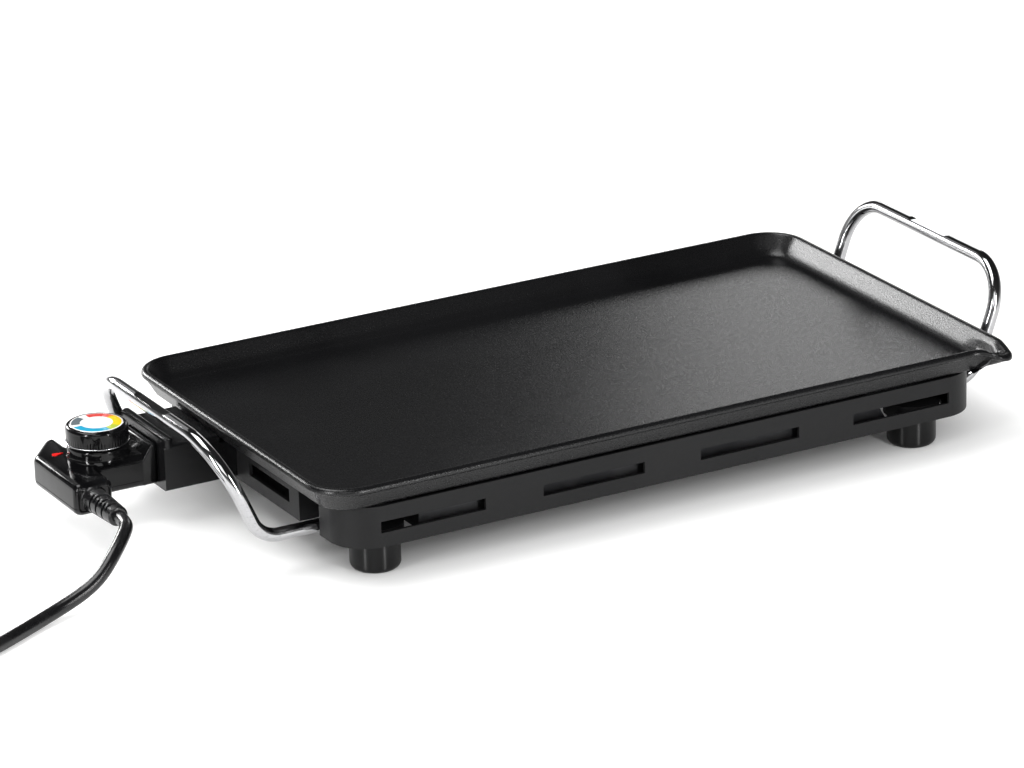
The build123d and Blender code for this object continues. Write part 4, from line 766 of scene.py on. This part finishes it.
# %% Underside of the plate, and the other sheet parts
under_z = 0.04502
underside = part_of("griddle_plate", "plate_underside", lambda co: co[:, 2] < under_z)
dress(underside, "base", "plate_coating", "griddle_plate")
for node, edge_width in (("base_frame", 0.0004), ("receptacle_housing", 0.0006)):
    dress(smooth_copy(node, edge_width=edge_width), "base", slot_of[node], node)
for node in ("heat_reflector", "heating_element", "probe_guide_tube"):
    dress(smooth_copy(node), "base", slot_of[node], node)
print("faces under the plate", len(underside.data.polygons))

# %% [markdown]
# A grip is one steel rod with four bends and a small flat stamped on top of
# its bar. The rod is a circle carried along the bent centre line, and the
# flat comes from holding the top points down to one height.

# %% Bent rods
def rounded_line(points, radii, steps=14):
    """The centre line of a bent rod: straight runs joined by arcs of the given radii."""
    points = np.asarray(points, float)
    line_points = [points[:1]]
    for before, corner, after, radius in zip(points, points[1:], points[2:], radii):
        u = (before - corner) / np.linalg.norm(before - corner)
        v = (after - corner) / np.linalg.norm(after - corner)
        half = np.arccos(np.clip(u @ v, -1, 1)) / 2
        middle = corner + (u + v) / np.linalg.norm(u + v) * radius / sin(half)
        first = (corner + u * radius / tan(half) - middle) / radius
        swing = np.linspace(0, pi - 2 * half, steps)[:, None]
        line_points.append(middle + radius * (np.cos(swing) * first - np.sin(swing) * u))
    line_points.append(points[-1:])
    return np.concatenate(line_points)


def tube_grid(path, radius, reference, columns=40):
    """Circles carried along a path: p + r (cos a n + sin a b).

    n is the reference made square to the path, and b is square to both.
    """
    along = np.gradient(path, axis=0)
    along /= np.linalg.norm(along, axis=1, keepdims=True)
    n = reference - (along @ reference)[:, None] * along
    n /= np.linalg.norm(n, axis=1, keepdims=True)
    b = np.cross(along, n)
    a = np.linspace(0, 2 * pi, columns, endpoint=False)
    radius = np.broadcast_to(radius, len(path))[:, None, None]
    return path[:, None] + radius * (np.cos(a)[:, None] * n[:, None] + np.sin(a)[:, None] * b[:, None])


print("points on one bend", len(rounded_line([(0, 0, 0), (1, 0, 0), (1, 1, 0)], [0.2])) - 2)

# %% Handles
rod_radius, foot_z, foot_bend, flat_half, flat_depth = 0.004, 0.024, 0.018, 0.0205, 0.001


def grip(side, half_length, bar_x, bar_z, lean, bar_bend):
    """A rod through six points: two feet, two knees and the bar's two ends.

    The flat holds heights down to bar height + rod radius - depth, eased in over its depth.
    """
    sign = -1 if side == "left" else 1
    low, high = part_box("handle_" + side)
    knee_x = bar_x - sign * (bar_z - foot_z) * tan(radians(lean))
    end_x = (high[0] if side == "left" else low[0]) - plate_centre[0]
    near_half = np.array([(end_x, -half_length, foot_z), (knee_x, -half_length, foot_z),
                          (bar_x, -half_length, bar_z)])
    corners = np.concatenate([near_half, near_half[::-1] * (1, -1, 1)]) + plate_centre
    path = rounded_line(corners, [foot_bend, bar_bend, bar_bend, foot_bend], steps=18)
    along_bar = np.linspace(-0.03, 0.03, 61)
    ones = np.ones_like(along_bar)
    straight = np.stack([bar_x * ones, along_bar, bar_z * ones], axis=1) + plate_centre
    split = int(np.searchsorted(path[:, 1], plate_centre[1]))
    path = np.concatenate([path[:split], straight, path[split:]])
    reference = np.array([cos(radians(lean)), 0.0, -sign * sin(radians(lean))])
    points = tube_grid(path, rod_radius, reference)
    reach = abs(points[..., 1] - plate_centre[1])
    press = np.clip((flat_half - reach) / flat_depth, 0, 1)
    points[..., 2] = np.minimum(points[..., 2], bar_z + rod_radius - flat_depth * press)
    return dress(from_grid("grip_" + side, points, caps="fan"), "base", "chrome_rod", "handle_" + side)


grip("left", half_length=0.0817, bar_x=-0.2733, bar_z=0.0811, lean=23.6, bar_bend=0.036)
grip("right", half_length=0.0827, bar_x=0.2569, bar_z=0.0889, lean=19.9, bar_bend=0.0286)

# %% [markdown]
# Feet, knob and trim are turned shapes: a profile of radius and height goes
# round an axis. A foot is hollow in the middle for its screw, so its profile
# starts inside that hole.

# %% Feet
def turned(name, profile, centre, columns):
    """A turned piece about the vertical: point = centre + (r cos a, r sin a, z).

    The profile's (r, z) rows run upwards, so that the faces point outwards.
    """
    profile = np.asarray(profile, float)
    a = np.linspace(0, 2 * pi, columns, endpoint=False)
    x = centre[0] + profile[:, :1] * np.cos(a)
    y = centre[1] + profile[:, :1] * np.sin(a)
    z = np.repeat(profile[:, 1:] + centre[2], columns, axis=1)
    return from_grid(name, np.stack([x, y, z], axis=-1), caps="fan")


t = np.linspace(0, pi / 2, 9)
foot_radius, sole_round = 0.0148, 0.004
foot_profile = np.concatenate([
    [(0.0055, 0.0120), (0.0055, 0.0004), (0.0059, 0.0)],
    np.column_stack([foot_radius - sole_round * (1 - np.sin(t)), sole_round * (1 - np.cos(t))]),
    [(foot_radius, 0.0100), (foot_radius, 0.0160), (foot_radius, 0.0203)]])
for name in ("left_near", "left_far", "right_near", "right_far"):
    low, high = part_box("foot_" + name)
    middle = [(low[0] + high[0]) / 2, (low[1] + high[1]) / 2, 0.0]
    foot = turned("foot_" + name + "_turned", foot_profile, middle, columns=96)
    dress(foot, "base", "gloss_black", "foot_" + name, look="foot_black")

# %% [markdown]
# The control is a glossy moulded block with an arm towards the plate. Its
# outline is a polygon with a radius at each corner, and outlines stacked from
# the bottom to the top, moved in near both faces, give its rounded edges. A
# shallow groove shows where its two halves meet.

# %% Rounded outlines
def rounded_outline(corners, radii, inset=0.0, steps=10):
    """A closed outline with arcs at its corners, moved in by inset.

    Each corner moves by inset (n1 + n2) / (1 + n1 . n2), and its arc shrinks, or grows where it is hollow.
    """
    corners = np.asarray(corners, float)
    points = []
    for before, corner_point, after, radius in zip(np.roll(corners, 1, axis=0), corners,
                                                   np.roll(corners, -1, axis=0), radii):
        e1 = (corner_point - before) / np.linalg.norm(corner_point - before)
        e2 = (after - corner_point) / np.linalg.norm(after - corner_point)
        n1, n2 = np.array([e1[1], -e1[0]]), np.array([e2[1], -e2[0]])
        side = np.sign(e1[0] * e2[1] - e1[1] * e2[0])
        moved = corner_point - inset * (n1 + n2) / (1 + n1 @ n2)
        r = max(radius - side * inset, 0.0001)
        half = np.arccos(np.clip(-e1 @ e2, -1, 1)) / 2
        middle = moved + (e2 - e1) / np.linalg.norm(e2 - e1) * r / sin(half)
        swing = np.linspace(0, pi - 2 * half, steps)[:, None]
        start = moved - e1 * r / tan(half) - middle
        points.append(middle + np.cos(swing) * start + np.sin(swing) * e1 * r)
    return np.concatenate(points)


def stacked(name, corners, radii, levels, axis="z"):
    """Outlines stacked along an axis: level (inset, w) is the outline moved in by inset, at w.

    A plan holds (x, y) points, or (z, x) points where it is stacked along y.
    """
    corners = np.asarray(corners, float)
    after = np.roll(corners, -1, axis=0)
    if np.sum(corners[:, 0] * after[:, 1] - corners[:, 1] * after[:, 0]) < 0:
        corners, radii = corners[::-1], radii[::-1]
    rows = []
    for inset, w in levels:
        plan = rounded_outline(corners, radii, inset)
        rows.append(np.column_stack([plan, np.full(len(plan), w)]))
    grid = np.stack(rows)
    order = [0, 1, 2] if axis == "z" else [1, 2, 0]
    return from_grid(name, grid[..., order] + plate_centre, caps="flat")


def round_levels(low, high, radius, steps=6):
    """Levels of a slab with rounded edges: inset R (1 - sin t) at height R (1 - cos t) from each face."""
    t = np.linspace(0, pi / 2, steps)
    bottom = [(radius * (1 - sin(a)), low + radius * (1 - cos(a))) for a in t]
    top = [(radius * (1 - sin(a)), high - radius * (1 - cos(a))) for a in t[::-1]]
    return bottom + top


print("levels of a slab", len(round_levels(0.0, 1.0, 0.2)))

# %% Control housing
arm_half, arm_start, arm_end, block_end = 0.019, -0.2985, -0.2600, 0.0050
arm_low, arm_high = knob_y - arm_half, knob_y + arm_half
block_plan = [(-0.3223, block_end), (arm_start, block_end), (arm_start, arm_low), (arm_end, arm_low),
              (arm_end, arm_high), (arm_start, arm_high), (arm_start, 0.0860), (-0.3048, 0.0860),
              (-0.3223, 0.0640)]
block_radii = [0.0050, 0.0040, 0.0035, 0.0012, 0.0012, 0.0035, 0.0040, 0.0070, 0.0080]
edge_steps, seam_depth = 8, 0.00025
slab = round_levels(0.0227, 0.0420, 0.0042, edge_steps)
seam = [(0.0, 0.0270), (seam_depth, 0.02712), (seam_depth, 0.02728), (0.0, 0.0274)]
levels = slab[:edge_steps] + seam + slab[edge_steps:]
dress(stacked("control_block", block_plan, block_radii, levels), "thermostat", "gloss_black",
      "control_housing_top", "control_housing_bottom")
flange_plan = [(0.0237, -0.2690), (0.0237, arm_end), (0.0480, arm_end), (0.0480, -0.2630),
               (0.0385, -0.2695)]
flange_levels = round_levels(arm_low - 0.0002, arm_high + 0.0002, 0.0012)
dress(stacked("control_flange", flange_plan, [0.0006, 0.0006, 0.0010, 0.0018, 0.0030], flange_levels,
              axis="y"), "thermostat", "gloss_black")

# %% [markdown]
# Where the cord leaves, a thin raised frame runs round the block's near face.
# It is a flat ring whose section is a small ellipse carried round the outline.

# %% Frame round the cord's outlet
frame_corners = [(0.0402, -0.3220), (0.0402, -0.3000), (0.0248, -0.3000), (0.0248, -0.3220)]
frame_plan = rounded_outline(frame_corners, [0.0035] * 4, 0.0008, 12)
frame_wide, frame_high = 0.0007, 0.0005
t = np.linspace(0, 2 * pi, 12, endpoint=False)[:, None]
from_middle = frame_plan - frame_plan.mean(axis=0)
outward = from_middle / np.linalg.norm(from_middle, axis=1, keepdims=True)
ring_z, ring_x = [frame_plan[:, side] + frame_wide * np.cos(t) * outward[:, side] for side in (0, 1)]
ring_y = np.broadcast_to(block_end - frame_high * np.sin(t), ring_x.shape)
dress(from_grid("outlet_frame", np.stack([ring_x, ring_y, ring_z], axis=-1) + plate_centre,
                closed_rows=True), "thermostat", "gloss_black")

# %% [markdown]
# The knob stands on a low round pedestal. The arm's nose and the probe are
# forms that the solids already have, so joined copies show them.

# %% Pedestal, nose, probe and lens
profile = [(0.0192, 0.0412), (0.0187, 0.0420), (0.0183, 0.0427), (0.0181, 0.0436), (0.0180, 0.0450),
           (0.0180, 0.0479), (0.01785, 0.0484), (0.0175, 0.0488), (0.0170, 0.0490), (0.0100, 0.0490)]
knob_centre = plate_centre + np.array([knob_x, knob_y, 0.0])
dress(turned("dial_pedestal", profile, knob_centre, columns=128), "thermostat", "gloss_black")
overlap = 0.001
nose_line = arm_end + plate_centre[0] - overlap
for node in ("control_housing_top", "control_housing_bottom"):
    dress(part_of(node, node + "_nose", lambda co: co[:, 0] > nose_line), "thermostat", "gloss_black", node)
for node in ("sensor_probe", "indicator_lens"):
    dress(smooth_copy(node), "thermostat", slot_of[node], node)
print("control made")

# %% [markdown]
# The knob is turned, with sixty fine flutes low on its side where a finger
# turns it. Its rim is rounded and glossy, a thin bright ring lies inside the
# rim, and a bright band runs round its foot, ten millimetres below the top.

# %% Knob
def knob_surface():
    """Radius r(z), less d |cos(n a / 2)|^4 on the fluted stretch, with n = 60 flutes."""
    side_radius, rim_round, flutes, flute_depth = 0.0184, 0.0022, 60, 0.00016
    foot = [(0.0172, 0.0494), (0.0180, 0.0495), (side_radius, 0.0498), (side_radius, 0.0501)]
    heights = (0.0511, 0.0514, 0.0517, 0.0521, 0.0527, 0.0535, 0.0542, 0.0550, 0.0565)
    side = [(side_radius, z) for z in heights]
    rim = [(side_radius - rim_round * (1 - cos(t)), knob_top - rim_round * (1 - sin(t)))
           for t in np.linspace(0, pi / 2, 7)]
    top = [(0.0159, 0.0610), (0.0157, 0.06085)]
    r, z = np.array(foot + side + rim + top).T
    fluted = np.clip((z - 0.0505) / 0.0004, 0, 1) * np.clip((0.0546 - z) / 0.0010, 0, 1)
    a = np.linspace(0, 2 * pi, 480, endpoint=False)
    radius = r[:, None] - flute_depth * fluted[:, None] * np.abs(np.cos(flutes / 2 * a)) ** 4
    z = np.repeat(z[:, None], len(a), axis=1)
    return np.stack([radius * np.cos(a), radius * np.sin(a), z], axis=-1) + knob_centre


dress(from_grid("knob_cap", knob_surface(), caps="fan"), "dial", "gloss_black",
      "knob_shell", "knob_rim")

# %% [markdown]
# A bright ring is a section of radius and height carried round the knob's
# axis: point = (R + w cos t, z + 0.7 w sin t). The printed disc is turned.

# %% Bright rings and the printed disc
t = np.linspace(0, 2 * pi, 16, endpoint=False)[:, None]
a = np.linspace(0, 2 * pi, 200, endpoint=False)
for name, solid, radius, height, wide in (("knob_band_ring", "knob_band", 0.01835, 0.0506, 0.00042),
                                          ("dial_ring", "knob_rim", 0.0156, 0.06085, 0.00028)):
    around = radius + wide * np.cos(t)
    ring_z = np.broadcast_to(height + 0.7 * wide * np.sin(t), (len(t), len(a)))
    grid = np.stack([around * np.cos(a), around * np.sin(a), ring_z], axis=-1)
    dress(from_grid(name, grid[::-1] + knob_centre, closed_rows=True), "dial", "bright_trim", solid)
disc = [(0.0155, 0.0603), (0.0155, 0.0609), (0.0154, 0.06105), (0.0152, 0.0611), (0.0100, 0.06112),
        (0.0050, 0.06113)]
dress(turned("dial_disc", disc, knob_centre, columns=160), "dial", "dial_print", "knob_dial")

# %% [markdown]
# The relief is a tapered sleeve of soft plastic, cut by short slots that take
# turns between two sides, so that it bends evenly. Every slot is a dip of the
# sleeve's radius, so one grid makes the whole piece.

# %% Strain relief
def relief_surface():
    """Radius r(s) = taper, less d times a row's window in s and a slot's window in the angle.

    Row k is open where |cos(a - k pi / 2)| > 1/2. Behind the sleeve come its neck and its collar.
    """
    sleeve_end, neck_end, collar_end, step, columns = 0.0330, 0.0355, 0.0375, 0.00001, 144
    sleeve = np.linspace(0, sleeve_end, 221)
    s = np.concatenate([sleeve, [sleeve_end + step, neck_end, neck_end + step, collar_end]])
    path = route[0] + s[:, None] * (0.0, 1.0, 0.0)
    radius = 0.0060 + 0.0015 * s / sleeve_end
    radius -= 0.0016 * (1 - np.sqrt(1 - np.clip(1 - s / 0.0014, 0, 1) ** 2))
    radius += 0.0006 * np.clip((s - 0.0315) / 0.0015, 0, 1) ** 2
    radius = np.select([s > neck_end, s > sleeve_end], [0.0070, 0.0055], radius)
    around = np.linspace(0, 2 * pi, columns, endpoint=False)
    first_row, row_pitch, slot_half, slot_depth = 0.0062, 0.0036, 0.00085, 0.0018
    depth = np.zeros((len(s), columns))
    for k in range(6):
        row = np.clip((slot_half - abs(s - first_row - row_pitch * k)) / 0.0003 + 0.5, 0, 1)
        window = np.clip((abs(np.cos(around - k * pi / 2)) - 0.5) / 0.08 + 0.5, 0, 1)
        depth = np.maximum(depth, slot_depth * row[:, None] * window)
    circle = tube_grid(path, 1.0, np.array([0.0, 0.0, 1.0]), columns=columns) - path[:, None]
    return path[:, None] + circle * (radius[:, None] - depth)[..., None]


dress(from_grid("relief_sleeve", relief_surface(), caps="fan"), "thermostat",
      slot_of["cord_strain_relief"], "cord_strain_relief")
for node in ("plug_body", "plug_pins", "plug_earth_strips"):
    dress(smooth_copy(node), "thermostat", slot_of[node], node)

# %% [markdown]
# A woven strip with a hook end ties the coil. It follows the bundle's rounded
# outline, and its end lies over itself on the top.

# %% Tie
coil_first = np.arctan2(coil_start[1] - coil_centre[1], coil_start[0] - coil_centre[0])


def tie_surface():
    """A flat section carried round the bundle: (w |cos t|^0.3, h |sin t|^0.3) with their signs.

    It is thicker on the outside where the strip's end lies over itself.
    """
    inner, outer, bottom, top, half_wide, half_thick = 0.0329, 0.0508, 0.0005, 0.0186, 0.0044, 0.00045
    corners = [(inner, bottom), (outer, bottom), (outer, top), (inner, top)]
    outline = rounded_outline(corners, [0.0045] * 4, 0.0, 10)
    pieces = [np.linspace(p, q, 12, endpoint=False) for p, q in zip(outline, np.roll(outline, -1, axis=0))]
    loop = np.concatenate(pieces)
    ahead = np.roll(loop, -1, axis=0) - np.roll(loop, 1, axis=0)
    ahead /= np.linalg.norm(ahead, axis=1, keepdims=True)
    outward = np.stack([ahead[:, 1], -ahead[:, 0]], axis=1)
    past_start = np.clip((loop[:, 0] - 0.0375) / 0.0004, 0, 1)
    on_top = np.clip((loop[:, 1] - 0.0180) / 0.0004, 0, 1)
    t = np.linspace(0, 2 * pi, 24, endpoint=False)
    across = half_wide * np.sign(np.cos(t)) * abs(np.cos(t)) ** 0.3
    thick = half_thick * np.sign(np.sin(t)) * abs(np.sin(t)) ** 0.3
    lift = np.where(thick > 0, thick + 0.0005 * (past_start * on_top)[:, None], thick)
    flat = loop[:, None] + lift[..., None] * outward[:, None]
    angle = coil_first - 3 * pi / 2
    radial = np.array([cos(angle), sin(angle), 0.0])
    sideways = np.array([-sin(angle), cos(angle), 0.0])
    base = np.array([coil_centre[0], coil_centre[1], 0.0])
    return base + flat[..., :1] * radial + flat[..., 1:] * (0.0, 0.0, 1.0) + across[:, None] * sideways


coil_tie = from_grid("coil_tie", tie_surface(), closed_rows=True)
dress(coil_tie, "thermostat", slot_of["cord_tie"], "cord_tie")

# %% [markdown]
# The cord gets its finish last, rides on the thermostat's body, and stands for the solid cord and its coil.
# It leaves the relief where its first point lies.

# %% Cord's finish and its body
cord.data.materials.append(rubber)
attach(cord, "thermostat")
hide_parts("power_cord", "cord_coil")
print("cord leaves at", route[0].round(4))

# %% [markdown]
# The griddle stands on a plain pale table. The table reaches far back so
# that its edge is never in the picture. Away from the griddle it gives out a
# little light of its own, to the camera and to mirrors only, so it turns white
# there. Near the griddle the glow fades out, so a painted shade round the griddle's footprint lies over the
# real shadow round the feet.

# %% Floor
side = np.linspace(-6, 6, 3)
table_x, table_y = np.meshgrid(side, side)
table = from_grid("table", np.stack([table_x, table_y, np.zeros((3, 3))], axis=-1), around=False)
pale, shader = finish("pale_table", (0.8, 0.8, 0.79), 0.6)
clouds = use(pale, cloud_group, "Mask", Scale=5.0)
feed(pale, shader, Base_Color=two_tones(pale, clouds, (0.79, 0.79, 0.785), (0.81, 0.81, 0.805)))
table.data.materials.append(pale)

# %% [markdown]
# How far a point of the table lies past the griddle's middle part is
# sqrt(px^2 + py^2), where p = max(|x - middle| - half, 0) along each axis.

# %% Own light of the table
own_light, mirror_share, fade = 0.36, 0.4, 0.08
nodes = pale.node_tree.nodes
where = nodes.new("ShaderNodeTexCoord")
axes = nodes.new("ShaderNodeSeparateXYZ")
past = []
for axis, middle, half in (("X", float(plate_centre[0]), 0.19), ("Y", float(plate_centre[1]), 0.08)):
    off = math_node(nodes, "ABSOLUTE", math_node(nodes, "SUBTRACT", axes.outputs[axis], middle))
    past.append(math_node(nodes, "MAXIMUM", math_node(nodes, "SUBTRACT", off, half), 0.0))
# The glow fades in over this distance, so the table round and under the griddle keeps no glow: painted
# shade there, on top of its real shadow.
clear = nodes.new("ShaderNodeMapRange")
clear.interpolation_type = "SMOOTHSTEP"
clear.inputs["From Max"].default_value = fade
rays = nodes.new("ShaderNodeLightPath")
mirrored = math_node(nodes, "MULTIPLY", rays.outputs["Is Glossy Ray"], mirror_share)
seen = math_node(nodes, "MAXIMUM", rays.outputs["Is Camera Ray"], mirrored)
strength = math_node(nodes, "MULTIPLY", seen, own_light)
lift = math_node(nodes, "MULTIPLY", strength, clear.outputs["Result"])
paleness = nodes.new("ShaderNodeEmission")
both = nodes.new("ShaderNodeAddShader")
join(pale.node_tree,
     (where.outputs["Object"], axes.inputs["Vector"]),
     (distance_node(nodes, *past), clear.inputs["Value"]),
     (lift, paleness.inputs["Strength"]),
     (shader.outputs["BSDF"], both.inputs[0]),
     (paleness.outputs["Emission"], both.inputs[1]),
     (both.outputs["Shader"], nodes["Material Output"].inputs["Surface"]))
print("table's nodes", len(nodes))

# %% [markdown]
# The light is a wide soft key from above, a weak fill in front, three cards
# behind that the plate's floor and right wall mirror, and two narrow strips
# that draw upright lines on the feet.

# %% Light
def soft_light(name, place, aim, size, power):
    """An area light that looks from its place at its aim."""
    data = bpy.data.lights.new(name, "AREA")
    data.shape = "RECTANGLE"
    data.size, data.size_y = size
    data.energy = power
    light = bpy.data.objects.new(name, data)
    light.location = place
    light.rotation_euler = (Vector(aim) - Vector(place)).to_track_quat("-Z", "Y").to_euler()
    light.visible_camera = False
    scene.collection.objects.link(light)


soft_light("key_light", (-0.7, 0.4, 1.9), (0.0, 0.0, 0.03), (1.5, 1.1), 28)
soft_light("fill_light", (-1.2, -1.9, 1.5), (0.0, 0.0, 0.03), (1.2, 1.2), 9)
soft_light("left_back_card", (-0.43, 1.11, 0.42), (0.24, 0.0, 0.05), (0.45, 0.3), 9)
soft_light("grey_card", (-0.3, 1.15, 0.78), (0.0, 0.0, 0.06), (0.8, 0.45), 0.45)
soft_light("right_back_card", (0.95, 1.1, 0.5), (0.1, 0.0, 0.05), (0.4, 0.3), 1.0)
soft_light("left_strip", (-1.6, -0.56, 0.5), (-0.17, -0.1, 0.03), (0.16, 1.0), 13)
soft_light("right_strip", (0.23, -1.6, 0.5), (-0.17, -0.1, 0.03), (0.16, 1.0), 13)
print("lights", len(bpy.data.lights))

# %% [markdown]
# The room is plain grey for soft light and nearly white for the camera.
# Polished parts mirror a pale horizon and a dark ceiling, so chrome shows both.

# %% Room
world = bpy.data.worlds.new("pale_room")
scene.world = world
world.use_nodes = True
nodes = world.node_tree.nodes
nodes.clear()
direction = nodes.new("ShaderNodeTexCoord")
axes = nodes.new("ShaderNodeSeparateXYZ")
heights = nodes.new("ShaderNodeValToRGB")
for at, level in ((0.0, 0.7), (0.06, 0.3), (0.2, 0.15), (0.33, 0.045), (0.5, 0.02)):
    stop = heights.color_ramp.elements[0] if at == 0.0 else heights.color_ramp.elements.new(at)
    stop.color = (level, level, level, 1)
heights.color_ramp.elements[-1].color = (0.02, 0.02, 0.02, 1)
room = nodes.new("ShaderNodeBackground")
room.inputs["Color"].default_value = (0.62, 0.62, 0.62, 1)
mirrored = nodes.new("ShaderNodeBackground")
backdrop = nodes.new("ShaderNodeBackground")
backdrop.inputs["Color"].default_value = (0.95, 0.95, 0.95, 1)
rays = nodes.new("ShaderNodeLightPath")
glossy = nodes.new("ShaderNodeMixShader")
mixed = nodes.new("ShaderNodeMixShader")
out = nodes.new("ShaderNodeOutputWorld")
join(world.node_tree,
     (direction.outputs["Generated"], axes.inputs["Vector"]),
     (axes.outputs["Z"], heights.inputs["Fac"]),
     (heights.outputs["Color"], mirrored.inputs["Color"]),
     (rays.outputs["Is Glossy Ray"], glossy.inputs["Fac"]),
     (room.outputs["Background"], glossy.inputs[1]),
     (mirrored.outputs["Background"], glossy.inputs[2]),
     (rays.outputs["Is Camera Ray"], mixed.inputs["Fac"]),
     (glossy.outputs["Shader"], mixed.inputs[1]),
     (backdrop.outputs["Background"], mixed.inputs[2]),
     (mixed.outputs["Shader"], out.inputs["Surface"]))
scene.view_settings.view_transform = "Standard"
print("room's nodes", len(nodes))
